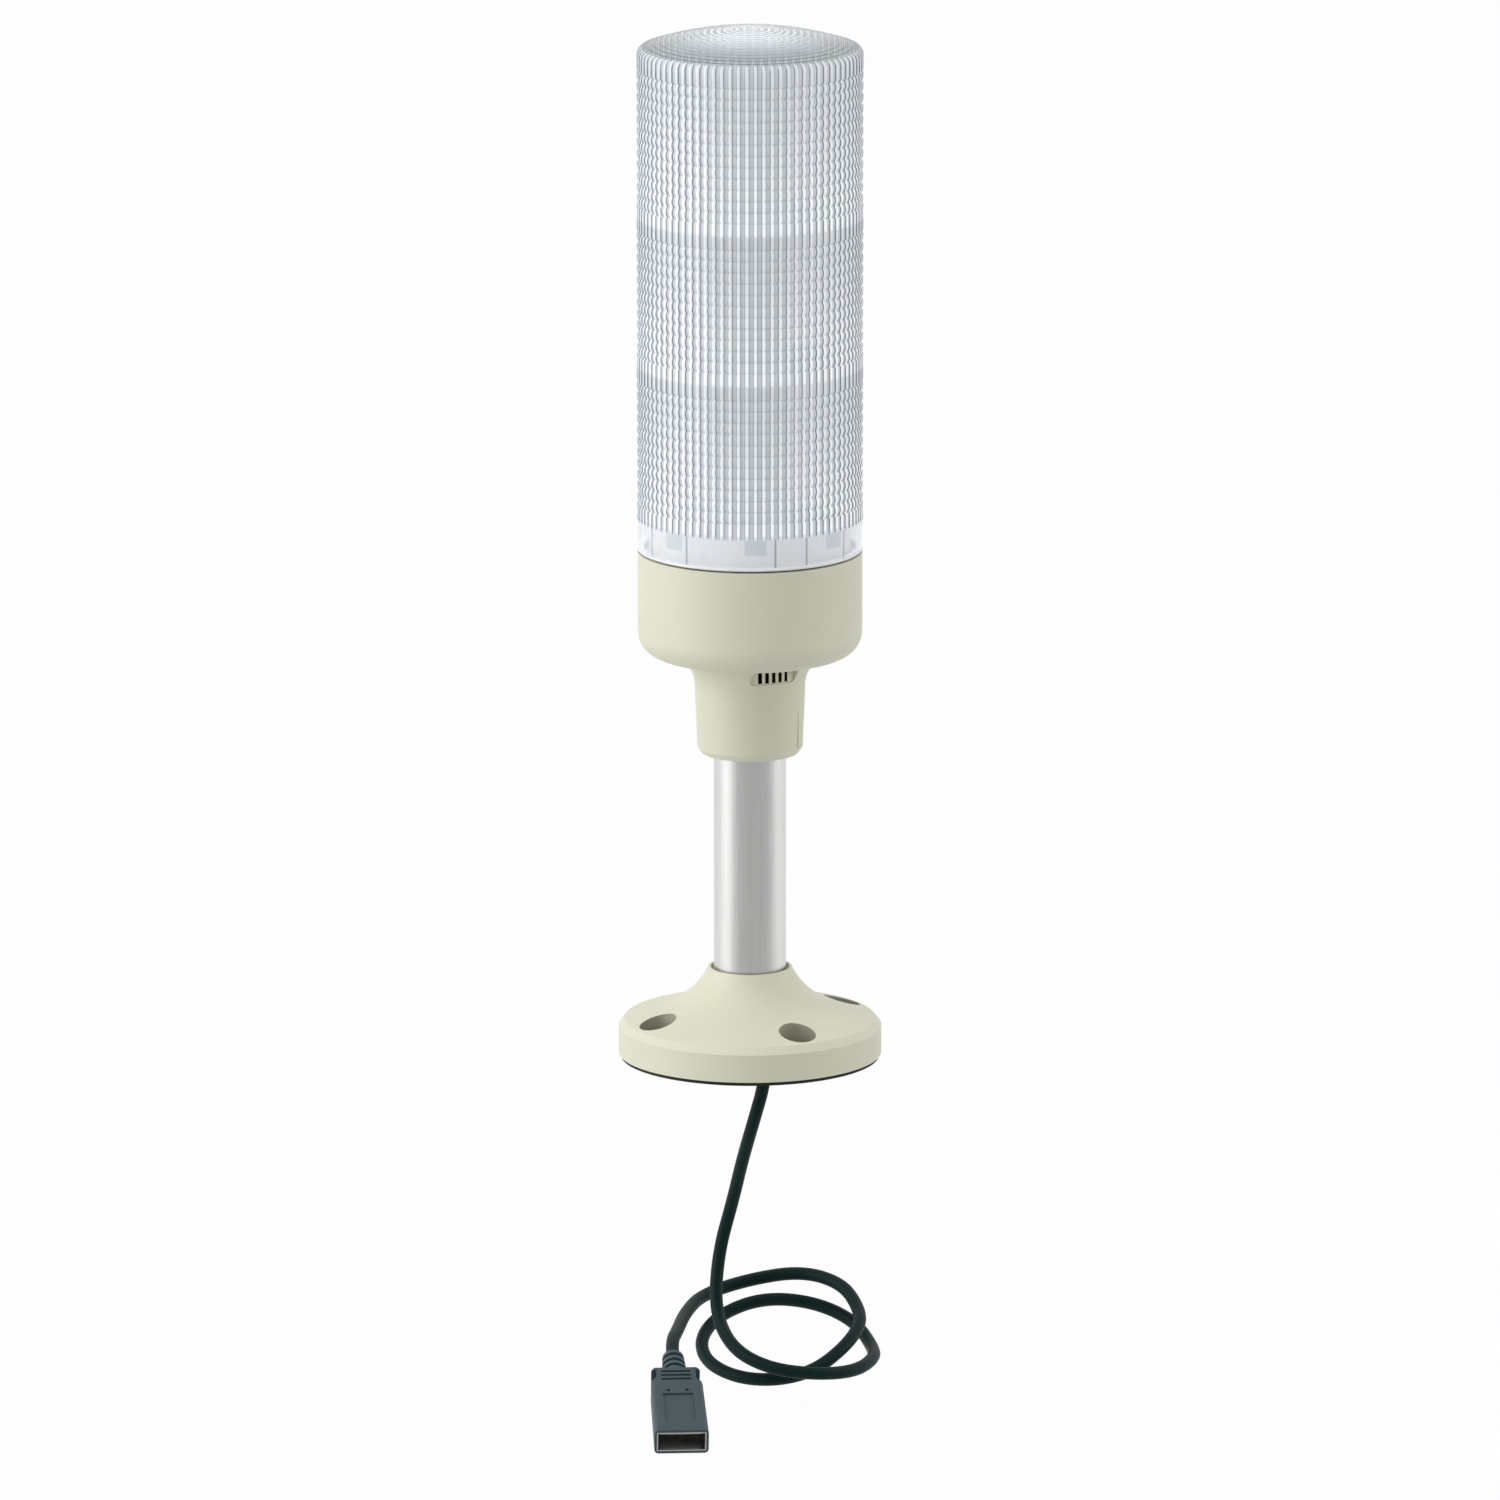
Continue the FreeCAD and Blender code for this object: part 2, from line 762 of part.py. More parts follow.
def screw_places():
    """Name, x, y and the height under the head of each small screw."""
    places = []
    for number, angle in enumerate(POST_ANGLES):
        x, y = around(size("post_circle"), angle)
        places.append((f"collar_screw_{number}", x, y, PLATE_TOP))
    for number, angle in enumerate(SCREW_ANGLES):
        x, y = around(size("post_circle"), angle)
        places.append((f"board_screw_{number}", x, y, BOARD_TOP))
    return places


def make_screws(kind):
    """The small pan-head screws of one kind, with their shanks in the posts."""
    screws = []
    for name, x, y, z in screw_places():
        if not name.startswith(kind):
            continue
        head = cylinder(f"{name}_head", size("screw_head"), size("screw_head_height"), x, y, z)
        screws.append(fuse(f"{name}_solid", [screw_shank(f"{name}_shank", x, y, z), head]))
    return group(f"{kind}s", screws)


def make_seal():
    height = size("seal_height")
    outer = size("seal_diameter")
    ring = cylinder("seal_outer", outer, height, z=SEAL_TOP - height)
    inside = cylinder("seal_inner", outer - 2 * size("seal_width"), height, z=SEAL_TOP - height)
    return cut("seal_ring", ring, inside)


def lug_ring(name, inner, outer, bottom, width):
    """Lugs that stand in or out between two radii, evenly spaced round the axis."""
    lugs = []
    for number in range(LUGS):
        made = document.addObject("PartDesign::Body", f"{name}_{number}")
        sketch = new_sketch(made, f"{name}_{number}_section", "XZ_Plane")
        top = bottom + size("lug_height")
        draw(sketch, [(inner, bottom), (outer, bottom), (outer, top), (inner, top)])
        turn = made.newObject("PartDesign::Revolution", f"{name}_{number}_turn")
        turn.Profile = sketch
        turn.ReferenceAxis = (sketch, ["V_Axis"])
        turn.Midplane = True
        bind(turn, Angle=width)
        lugs.append(turned(made, size("lug_angle") + 360 / LUGS * number))
    return lugs


def make_lens():
    """The clear lens: a thin ribbed tube with a low crown, a smooth skirt and four inner lugs."""
    outer = size("lens_diameter") / 2
    skirt = outer - size("skirt_step")
    skirt_top = LENS_BOTTOM + size("skirt_height")
    corner = size("lens_corner")
    bore = size("lens_bore") / 2
    rise = size("lens_crown_rise")
    rim = LENS_TOP - rise
    roof = LENS_TOP - size("lens_roof")
    crown, vault = [(reach - corner) * (reach - corner) / (2 * rise) + rise / 2 for reach in (outer, bore)]
    body = turned_body(
        "lens_shell",
        [
            (bore, LENS_BOTTOM),
            (skirt, LENS_BOTTOM),
            (skirt, skirt_top),
            (outer, skirt_top),
            (outer, rim - corner),
            (outer - corner, rim),
            (0, LENS_TOP),
            (0, roof),
            (bore - corner, rim - size("lens_roof")),
            (bore, rim - size("lens_roof") - corner),
        ],
        {4: (corner, 1), 5: (crown, 1), 7: (vault, -1), 8: (corner, -1)},
    )
    sketch = new_sketch(body, "rib_groove", "XY_Plane", skirt_top + size("rib_start"))
    # The cutter reaches as far outside the wall as its point does inside
    width = size("rib_groove_width")
    bottom, beyond = outer - size("rib_depth"), outer + size("rib_depth")
    draw(sketch, [(bottom, 0), (beyond, -width), (beyond, width)])
    half_pitch = FreeCAD.Rotation(FreeCAD.Vector(0, 0, 1), 180 / LENS_RIBS)
    sketch.AttachmentOffset = FreeCAD.Placement(FreeCAD.Vector(), half_pitch)
    groove = body.newObject("PartDesign::Pocket", "rib_groove_cut")
    groove.Profile = sketch
    groove.Type = 1
    groove.Reversed = True
    ribs = body.newObject("PartDesign::PolarPattern", "ribs")
    ribs.Originals = [groove]
    ribs.Axis = (plane_of(body, "Z_Axis"), [""])
    ribs.Angle = 360
    ribs.Occurrences = LENS_RIBS
    body.Tip = ribs
    lug_in = bore - size("lug_depth")
    bottom = LENS_BOTTOM + size("lug_lift")
    lugs = lug_ring("lens_lug", lug_in, bore + size("lug_root"), bottom, size("lens_lug_width"))
    return fuse("lens_solid", [body] + lugs)


def make_collar():
    """The white ring that the lens locks onto, closed by a plate that carries the lamps' slot."""
    outer = LOCK_RING / 2
    inner = outer - size("lock_ring_wall")
    ring = turned_body(
        "lock_ring",
        [(inner, LEDGE), (outer, LEDGE), (outer, PLATE_TOP), (0, PLATE_TOP), (0, PLATE), (inner, PLATE)],
    )
    bottom = LUG_TOP + size("lug_gap")
    tip = outer + size("lug_depth")
    lugs = lug_ring("ring_lug", outer - size("lug_root"), tip, bottom, size("collar_lug_width"))
    width = size("lamp_board_width") + size("lock_ring_slot_margin")
    slot = block("lamp_board_slot", width, size("lock_ring_slot"), size("lock_ring_wall"), z=PLATE)
    holes = [slot]
    for name, x, y, z in screw_places():
        if name.startswith("collar"):
            hole = cylinder(f"{name}_hole", size("screw_diameter"), size("lock_ring_wall"), x, y, PLATE)
            holes.append(hole)
    return cut("lock_ring_cut", fuse("lock_ring_solid", [ring] + lugs), fuse("lock_ring_holes", holes))


def make_control_board():
    thickness = size("board_thickness")
    disc = cylinder("control_disc", size("control_board_diameter"), thickness, z=BOARD)
    width = size("post_tip_diameter") + 2 * size("post_clearance")
    holes = []
    for number, angle in enumerate(POST_ANGLES):
        x, y = around(size("post_circle"), angle)
        holes.append(cylinder(f"tip_hole_{number}", width, thickness, x, y, BOARD))
    for number, angle in enumerate(SCREW_ANGLES):
        x, y = around(size("post_circle"), angle)
        holes.append(cylinder(f"screw_hole_{number}", size("screw_diameter"), thickness, x, y, BOARD))
    return cut("control_disc_cut", disc, fuse("control_holes", holes))


def lamp_board_bottom():
    return BOARD_TOP + size("board_socket_height") - size("board_socket_depth")


def make_lamp_board():
    return block(
        "lamp_board_strip",
        size("lamp_board_width"),
        size("board_thickness"),
        TIERS_TOP - size("lamp_board_top_gap") - lamp_board_bottom(),
        z=lamp_board_bottom(),
    )


def make_board_socket():
    body = block(
        "socket_block",
        size("board_socket_length"),
        size("board_socket_width"),
        size("board_socket_height"),
        z=BOARD_TOP,
    )
    room = block(
        "socket_room",
        size("lamp_board_width") + 2 * size("board_fit"),
        size("board_thickness") + 2 * size("board_fit"),
        size("board_socket_depth"),
        z=lamp_board_bottom(),
    )
    return cut("socket_cut", body, room)


def make_lamps(tier):
    """One tier's lamps, in two columns on each face of the board."""
    middle = LOWEST_TIER + TIER * (tier + 0.5)
    lamps = []
    for face in (-1, 1):
        y = (size("board_thickness") + size("lamp_depth")) / 2 * face
        for column in (-1, 1):
            for row in range(LAMP_ROWS):
                z = middle + size("lamp_row") * (row - (LAMP_ROWS - 1) / 2) - size("lamp_height") / 2
                name = f"lamp_{tier}_{face + 1}_{column + 1}_{row}"
                x = size("lamp_column") * column
                width, depth, height = size("lamp_width"), size("lamp_depth"), size("lamp_height")
                lamps.append(block(name, width, depth, height, x, y, z))
    return group(f"lamps_{tier}", lamps)


def make_divider(tier):
    """A disc between two tiers, held on the lamp board."""
    z = LOWEST_TIER + TIER * tier - size("divider_thickness") / 2
    disc = cylinder(f"divider_disc_{tier}", size("divider_diameter"), size("divider_thickness"), z=z)
    slot = block(
        f"divider_slot_{tier}",
        size("lamp_board_width") + 2 * size("board_fit"),
        size("board_thickness") + 2 * size("board_fit"),
        size("divider_thickness"),
        z=z,
    )
    return cut(f"divider_cut_{tier}", disc, slot)


def make_small_parts():
    """What the control board carries besides its sockets."""
    circle = size("post_circle") / 2
    side = circle * PART_PLACE_SHARE
    width = size("chip_width")
    chip = block("chip_block", width, width, size("chip_height"), side, side, BOARD_TOP)
    can = cylinder(
        "can",
        size("capacitor_diameter"),
        size("capacitor_height"),
        -side,
        side,
        BOARD_TOP,
    )
    sounder = cylinder(
        "sounder",
        size("buzzer_diameter"),
        size("buzzer_height"),
        -size("buzzer_side"),
        -circle * BUZZER_PLACE_SHARE,
        BOARD - size("buzzer_height"),
    )
    plug = block(
        "lead_connector",
        size("connector_length"),
        size("connector_width"),
        size("connector_height"),
        CORD_X,
        CORD_Y,
        BOARD - size("connector_height"),
    )
    return {"main_chip": chip, "capacitor": can, "buzzer": sounder, "cord_connector": plug}


def make_inner_cord():
    return cylinder("inner_lead", size("cord_diameter"), BOARD - size("connector_height"), CORD_X, CORD_Y)


def in_world(across, towards, height):
    """Turns a place across, towards and above the view into the part's own frame."""
    angle = math.radians(sheet.get("cord_angle"))
    x = across * math.cos(angle) + towards * math.sin(angle)
    y = across * math.sin(angle) - towards * math.cos(angle)
    return FreeCAD.Vector(x, y, height)


def route_points():
    """The route's points. The first lies under the lead's stretch inside the pole."""
    points = [in_world(*place) for place in ROUTE]
    points[0] = FreeCAD.Vector(CORD_X.value, CORD_Y.value, 0)
    points[1] = FreeCAD.Vector(CORD_X.value, CORD_Y.value, ROUTE[1][2])
    return points


def cord_path(points):
    """Straight runs joined by tangent arcs, each as large as its two runs allow."""
    edges, radii = [], []
    start = points[0]
    for before, corner, after in zip(points, points[1:], points[2:]):
        back, ahead = before - corner, after - corner
        share = CORNER_SHARE * min(back.Length, ahead.Length)
        half_turn = (math.pi - back.getAngle(ahead)) / 2
        radius = share / math.tan(half_turn)
        back.normalize()
        ahead.normalize()
        enter = corner + back * share
        leave = corner + ahead * share
        inward = (back + ahead).normalize()
        centre_distance = radius / math.cos(half_turn)
        middle = corner + inward * (centre_distance - radius)
        edges.append(Part.LineSegment(start, enter).toShape())
        edges.append(Part.Arc(enter, middle, leave).toShape())
        radii.append(radius)
        start = leave
    edges.append(Part.LineSegment(start, points[-1]).toShape())
    return Part.Wire(edges), radii


def make_cord():
    points = route_points()
    path, radii = cord_path(points)
    radius = sheet.get("cord_diameter") / 2
    circle = Part.Circle(points[0], points[1] - points[0], radius).toShape()
    tube = path.makePipeShell([Part.Wire([circle])], True, True)
    lead = document.addObject("Part::Feature", "free_lead")
    lead.Shape = tube
    print("cord radii:", " ".join(f"{value:.1f}" for value in radii))
    print(f"cord length {path.Length:.1f}, volume over section {tube.Volume / (math.pi * radius**2):.1f}")
    return lead


def plug_frame():
    """The placement of the lead's end: it goes on in line with the lead, level from side to side."""
    before, end = route_points()[-2:]
    along = (end - before).normalize()
    side = FreeCAD.Vector(0, 0, 1).cross(along).normalize()
    upright = along.cross(side)
    return FreeCAD.Placement(end, FreeCAD.Rotation(along, side, upright, "XZY"))


def laid(name, thing):
    """Lays a piece of the lead's end in its place."""
    holder = group(name, [thing])
    holder.Placement = plug_frame()
    return holder


def make_relief():
    """The tapered boot with rings cut round it."""
    body = document.addObject("PartDesign::Body", "boot")
    sketch = new_sketch(body, "boot_section", "XY_Plane")
    length = size("relief_length")
    thick, thin = size("relief_diameter") / 2, size("relief_end_diameter") / 2
    corners = [(0, 0), (0, thin)]
    step = length / (RELIEF_GROOVES * 2 + 1)
    for number in range(RELIEF_GROOVES):
        for edge, deep in ((1, 0), (1, 1), (2, 1), (2, 0)):
            x = step * (2 * number + edge)
            radius = thin + (thick - thin) * (2 * number + edge) / (RELIEF_GROOVES * 2 + 1)
            corners.append((x, radius - size("relief_groove") * deep))
    corners += [(length, thick), (length, 0)]
    draw(sketch, corners)
    turn = body.newObject("PartDesign::Revolution", "boot_turn")
    turn.Profile = sketch
    turn.ReferenceAxis = (sketch, ["H_Axis"])
    turn.Angle = 360
    return laid("boot_laid", body)


def make_plug_body():
    """The moulded body of the lead's end: rounded, narrower at the back, with grip bars and a panel."""
    body = document.addObject("PartDesign::Body", "end_body")
    sketch = new_sketch(body, "end_outline", "XY_Plane", -size("plug_thickness") / 2)
    back, front = size("plug_back_width") / 2, size("plug_width") / 2
    start = size("relief_length")
    waist = start + size("plug_length") * WAIST_SHARE
    end = start + size("plug_length")
    bevel = size("grip_depth") * 2
    shoulder = back + size("grip_depth") * WAIST_STEP_SHARE
    draw(
        sketch,
        [
            (start, -back + bevel),
            (start + bevel, -back),
            (waist - bevel, -back),
            (waist, -shoulder),
            (end, -front),
            (end, front),
            (waist, shoulder),
            (waist - bevel, back),
            (start + bevel, back),
            (start, back - bevel),
        ],
    )
    pad = body.newObject("PartDesign::Pad", "end_pad")
    pad.Profile = sketch
    bind(pad, Length=size("plug_thickness"))
    document.recompute()
    lengthwise = [
        f"Edge{number}"
        for number, edge in enumerate(pad.Shape.Edges, start=1)
        if abs(edge.Vertexes[0].Z - edge.Vertexes[1].Z) < 1e-6
        and abs(edge.Vertexes[0].X - edge.Vertexes[1].X) > sheet.get("plug_length") * LONG_EDGE_SHARE
    ]
    rounding = body.newObject("PartDesign::Fillet", "end_rounding")
    rounding.Base = (pad, lengthwise)
    bind(rounding, Radius=size("plug_round"))
    body.Tip = rounding
    top = size("plug_thickness") / 2
    deep = size("shell_depth")
    panel_length = size("plug_length") * PANEL_LENGTH_SHARE
    panel_middle = start + size("plug_length") * PANEL_PLACE_SHARE
    cuts = [
        block(
            "shell_room",
            deep,
            size("shell_width"),
            size("shell_height"),
            end - deep / 2,
            0,
            -size("shell_height") / 2,
        ),
        block(
            "panel",
            panel_length,
            size("plug_width") * PANEL_WIDTH_SHARE,
            size("panel_depth") * 2,
            panel_middle,
            0,
            top - size("panel_depth"),
        ),
    ]
    for number in range(GRIPS):
        bar = block(
            f"grip_{number}",
            size("grip_width"),
            size("plug_back_width") * GRIP_LENGTH_SHARE,
            size("grip_depth") * 2,
            start + size("plug_length") * GRIP_STEP_SHARE * (number + 1),
            0,
            top - size("grip_depth"),
        )
        cuts.append(bar)
    for side in (-1, 1):
        scoop = lying(
            f"side_scoop_{side + 1}",
            size("plug_scoop"),
            waist - start - bevel * 2,
            start + bevel,
            (back + size("plug_scoop") / 2 - size("plug_scoop_depth")) * side,
            top - bevel,
        )
        x = panel_middle - panel_length / 2 - size("dimple_gap")
        y = size("dimple_pitch") / 2 * side
        floor = top - size("dimple_depth")
        width = size("dimple_diameter")
        dimple = cylinder(f"dimple_{side + 1}", width, size("plug_thickness"), x, y, floor)
        cuts += [scoop, dimple]
    return laid("end_laid", cut("end_cut", body, fuse("end_cuts", cuts)))


def make_plug_shell():
    """The metal mouth, closed at the back."""
    deep, thin = size("shell_depth"), size("shell_sheet")
    end = size("relief_length") + size("plug_length")
    width, height = size("shell_width"), size("shell_height")
    outside = block("shell_block", deep, width, height, end - deep / 2, 0, -height / 2)
    inside = block(
        "shell_hollow",
        deep - thin,
        width - 2 * thin,
        height - 2 * thin,
        end - (deep - thin) / 2,
        0,
        thin - height / 2,
    )
    return laid("shell_laid", cut("shell_cut", outside, inside))


def tongue_place():
    """Back and underside of the tongue."""
    end = size("relief_length") + size("plug_length")
    back = end - size("shell_depth") + size("shell_sheet")
    top = size("shell_height") / 2 - size("shell_sheet") - size("tongue_drop")
    return back, top - size("tongue_height")


def make_tongue():
    back, underside = tongue_place()
    length, width, height = size("tongue_length"), size("tongue_width"), size("tongue_height")
    tongue = block("tongue_block", length, width, height, back + length / 2, 0, underside)
    return laid("tongue_laid", tongue)


def make_contacts():
    """Four flat springs on the tongue's underside."""
    back, underside = tongue_place()
    length = size("tongue_length") * CONTACT_LENGTH_SHARE
    thick = size("contact_thickness")
    strips = [
        block(
            f"contact_{number}",
            length,
            size("contact_width"),
            thick,
            back + length / 2,
            size("contact_pitch") * (number - (CONTACTS - 1) / 2),
            underside - thick,
        )
        for number in range(CONTACTS)
    ]
    return laid("contacts_laid", group("contact_strips", strips))


def named_pieces():
    """Every piece of the light under its own name."""
    pieces = {
        "base_gasket": make_gasket(),
        "base": make_base(),
        "pole_bush": make_pole_bush(),
        "pole": make_pole(),
        "pole_screws": make_grub_screws(),
        "housing": make_housing(),
        "lens_seal": make_seal(),
        "lens": make_lens(),
        "lens_collar": make_collar(),
        "collar_screws": make_screws("collar_screw"),
        "control_board": make_control_board(),
        "board_screws": make_screws("board_screw"),
        "board_socket": make_board_socket(),
        "led_board": make_lamp_board(),
        "leds_bottom": make_lamps(0),
        "leds_middle": make_lamps(1),
        "leds_top": make_lamps(2),
        "divider_bottom": make_divider(1),
        "divider_top": make_divider(2),
        "inner_cord": make_inner_cord(),
        "cord": make_cord(),
        "strain_relief": make_relief(),
        "plug_body": make_plug_body(),
        "plug_shell": make_plug_shell(),
        "plug_tongue": make_tongue(),
        "plug_contacts": make_contacts(),
    }
    pieces.update(make_small_parts())
    return pieces


def main():
    pieces = named_pieces()
    for name, piece in pieces.items():
        piece.Label = name
    document.recompute()
    for thing in document.Objects:
        if "Invalid" in thing.State or "Error" in thing.State:
            raise RuntimeError(f"{thing.Name} failed: {thing.State}")
    for name, piece in pieces.items():
        if piece.Shape.isNull() or not piece.Shape.isValid():
            raise RuntimeError(f"{name} has no valid shape")
    os.makedirs("parts", exist_ok=True)
    for name, piece in pieces.items():
        piece.Shape.exportStep(f"parts/{name}.step")
        print(f"{name}: {len(piece.Shape.Solids)} solids, {piece.Shape.Volume:.1f} mm3")


main()
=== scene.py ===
# %% [markdown]
# A stack light stands on its pole and drops its lead below the base. The solids come from the
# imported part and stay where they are. This notebook dresses them: first the camera and the lead,
# because they decide what the picture holds, then the lens, the mouldings and the small parts.

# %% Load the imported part
import math

import bmesh
import bpy
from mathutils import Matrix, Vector


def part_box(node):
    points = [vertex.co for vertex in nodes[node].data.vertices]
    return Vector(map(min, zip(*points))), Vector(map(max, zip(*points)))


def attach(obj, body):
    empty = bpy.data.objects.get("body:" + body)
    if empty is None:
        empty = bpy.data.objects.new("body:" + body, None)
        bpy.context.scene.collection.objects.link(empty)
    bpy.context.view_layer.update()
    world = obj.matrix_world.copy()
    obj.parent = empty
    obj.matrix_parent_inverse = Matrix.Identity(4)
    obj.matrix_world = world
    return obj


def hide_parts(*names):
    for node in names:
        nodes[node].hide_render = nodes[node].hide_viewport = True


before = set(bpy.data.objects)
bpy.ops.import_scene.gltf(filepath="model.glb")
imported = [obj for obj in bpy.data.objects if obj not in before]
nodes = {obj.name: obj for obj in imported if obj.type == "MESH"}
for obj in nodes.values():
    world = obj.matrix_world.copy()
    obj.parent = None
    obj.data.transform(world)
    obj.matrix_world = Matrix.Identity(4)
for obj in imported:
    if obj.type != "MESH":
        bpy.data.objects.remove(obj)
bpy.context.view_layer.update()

scene = bpy.context.scene

# %% [markdown]
# Product pictures of slim things are taken from far away with a long lens, so that upright lines
# stay upright. The camera looks a little down on the light, turned to its front-left.

# %% Camera
VIEW_TURN = math.radians(-27.2)
VIEW_PITCH = math.radians(12.9)
VIEW_DISTANCE = 4.3
VIEW_TARGET = Vector((0, 0, 0.0833))
SENSOR_WIDTH = 36
FOCAL_LENGTH = 388.8
FARTHEST_SEEN = 60


def direction(turn, pitch=0.0):
    """Away from the light: turned from its front, and raised."""
    level = math.cos(pitch)
    return Vector((math.sin(turn) * level, -math.cos(turn) * level, math.sin(pitch)))


back = direction(VIEW_TURN, VIEW_PITCH)
camera = bpy.data.objects.new("camera", bpy.data.cameras.new("camera"))
scene.collection.objects.link(camera)
camera.location = VIEW_TARGET + back * VIEW_DISTANCE
camera.rotation_mode = "QUATERNION"
camera.rotation_quaternion = (-back).to_track_quat("-Z", "Y")
camera.data.sensor_width = SENSOR_WIDTH
camera.data.lens = FOCAL_LENGTH
camera.data.clip_end = FARTHEST_SEEN
scene.camera = camera
print("camera at", [round(v, 3) for v in camera.location])

# %% [markdown]
# Every finish below is worked out with ordinary sums. A small class stands for one socket of a
# shader, so that `1 - mask` or `edge * 0.3` adds the nodes that do it. Anything that isn't a sum
# comes from one method that takes the node's type, its settings and what its sockets hold.


# %% Sums on shader sockets
class Wire:
    """One output socket of a shader, with the operators that make Math nodes."""

    def __init__(self, graph, socket):
        self.graph = graph
        self.socket = socket

    def sum(self, operation, first, second=0.0, third=0.0):
        settings = {"operation": operation}
        return self.graph.add("ShaderNodeMath", settings, {0: first, 1: second, 2: third})

    def __add__(self, other):
        return self.sum("ADD", self, other)

    def __radd__(self, other):
        return self.sum("ADD", other, self)

    def __sub__(self, other):
        return self.sum("SUBTRACT", self, other)

    def __rsub__(self, other):
        return self.sum("SUBTRACT", other, self)

    def __mul__(self, other):
        return self.sum("MULTIPLY", self, other)

    def __rmul__(self, other):
        return self.sum("MULTIPLY", other, self)

    def __truediv__(self, other):
        return self.sum("DIVIDE", self, other)

    def __rtruediv__(self, other):
        return self.sum("DIVIDE", other, self)

    def __pow__(self, other):
        return self.sum("POWER", self, other)

    def __rpow__(self, other):
        return self.sum("POWER", other, self)

    def clamp(self):
        return self.graph.add("ShaderNodeClamp", {}, {"Value": self, "Min": 0.0, "Max": 1.0})

    def size(self):
        return self.sum("ABSOLUTE", self)

    def fraction(self):
        return self.sum("FRACT", self)

    def least(self, other):
        return self.sum("MINIMUM", self, other)

    def step(self, start, end):
        """0 below start and 1 above end, smooth between."""
        return self.graph.add(
            "ShaderNodeMapRange",
            {"interpolation_type": "SMOOTHSTEP"},
            {"Value": self, "From Min": start, "From Max": end},
        )

    def between(self, low, high, soft):
        """1 between two values, with both edges softened inwards."""
        return self.step(low, low + soft) * (1 - self.step(high - soft, high))

    def near(self, middle, core, edge):
        """1 within the core distance of a value and 0 beyond the edge distance."""
        return 1 - (self - middle).size().step(core, edge)

    def lines(self, pitch, start, end):
        """1 on lines that lie a pitch apart and 0 halfway between them."""
        return ((self / pitch).fraction() * 2 - 1).size().step(start, end)

    def choose(self, yes, no):
        """One value where this is 1 and another where it is 0."""
        return self * yes + (1 - self) * no


print("sums on sockets ready")

# %% [markdown]
# A graph holds the nodes of one material, or of the world. One method adds a node of any type. The
# node's settings are set first, because they can change which sockets it has.


# %% Nodes of any type
class Graph:
    """The nodes of a material or of the world."""

    def __init__(self, tree):
        self.tree = tree

    def add(self, kind, settings=None, sockets=None, output=0):
        """Adds a node and gives one of its outputs."""
        node = self.tree.nodes.new(kind)
        for name, value in (settings or {}).items():
            setattr(node, name, value)
        for name, value in (sockets or {}).items():
            self.feed(node.inputs[name], value)
        return Wire(self, node.outputs[output])

    def feed(self, socket, value):
        if isinstance(value, Wire):
            self.tree.links.new(value.socket, socket)
        else:
            socket.default_value = value

    def rays(self, *names):
        """Tells which kind of ray asks: 1 for a ray of that kind."""
        return [self.add("ShaderNodeLightPath", output=f"Is {name} Ray") for name in names]


print("nodes of any type ready")

# %% [markdown]
# A finish is a material under construction. It starts from the Principled shader, and offers what
# the finishes of this light ask for: a place on the object, soft noise, a colour between two, and
# a bump. Places are taken from the object, so that a finish moves with its piece.


# %% A finish under construction
class Finish(Graph):
    """A material under construction."""

    def __init__(self, name, **fixed):
        self.material = bpy.data.materials.new(name)
        self.material.use_nodes = True
        super().__init__(self.material.node_tree)
        self.surface = self.tree.nodes["Principled BSDF"]
        for label, value in fixed.items():
            self.surface.inputs[label.replace("_", " ")].default_value = value

    def put(self, **sockets):
        """Feeds the surface shader."""
        for label, value in sockets.items():
            self.feed(self.surface.inputs[label.replace("_", " ")], value)
        return self

    def place(self):
        """A point of the object, in metres."""
        return self.add("ShaderNodeTexCoord", output=3)

    def axes(self):
        """The three coordinates of a point of the object."""
        split = self.add("ShaderNodeSeparateXYZ", {}, {0: self.place()}).socket.node
        return [Wire(self, split.outputs[index]) for index in range(3)]

    def facing(self):
        """The surface's own normal."""
        return self.add("ShaderNodeNewGeometry", output=1)

    def from_axis(self):
        """The direction away from the upright axis."""
        spot = self.add("ShaderNodeNewGeometry")
        level = {0: spot, 1: (1, 1, 0)}
        flat = self.add("ShaderNodeVectorMath", {"operation": "MULTIPLY"}, level)
        return self.add("ShaderNodeVectorMath", {"operation": "NORMALIZE"}, {0: flat})

    def grain(self, size, detail=2.0):
        """Soft noise of a given size in metres."""
        sockets = {"Vector": self.place(), "Scale": 1 / size, "Detail": detail}
        return self.add("ShaderNodeTexNoise", {}, sockets)

    def mix(self, share, first, second):
        """A colour between two."""
        sockets = {0: share, 6: first, 7: second}
        return self.add("ShaderNodeMix", {"data_type": "RGBA"}, sockets, 2)

    def bump(self, height, depth, strength=1.0):
        """A normal from a height of 0 to 1 that stands for a depth in metres."""
        sockets = {"Height": height, "Distance": depth, "Strength": strength}
        return self.add("ShaderNodeBump", {}, sockets)


print("finishes ready")

# %% [markdown]
# Colours are written as they look on a screen, from 0 to 255, and turned into the linear values
# that shaders work with. A solid that keeps its own shape only gets a new material.


# %% Colours and carried-over solids
def colour(red, green, blue):
    """A colour as it is seen on a screen, from 0 to 255, in the shader's linear terms."""
    def linear(value):
        value /= 255
        return value / 12.92 if value <= 0.04045 else ((value + 0.055) / 1.055) ** 2.4
    return linear(red), linear(green), linear(blue), 1.0


def dress(name, finish):
    """Gives a carried-over solid its finish."""
    thing = nodes[name]
    thing.data.materials.clear()
    thing.data.materials.append(finish.material)


print("middle grey is", [round(v, 3) for v in colour(128, 128, 128)])

# %% [markdown]
# The lead is a fixed length of soft sheathed cable. It leaves the base, drops, makes two loose
# turns and ends in its connector. The route's points are the ones that the solid lead follows,
# and a smooth curve of low order runs just inside their corners.

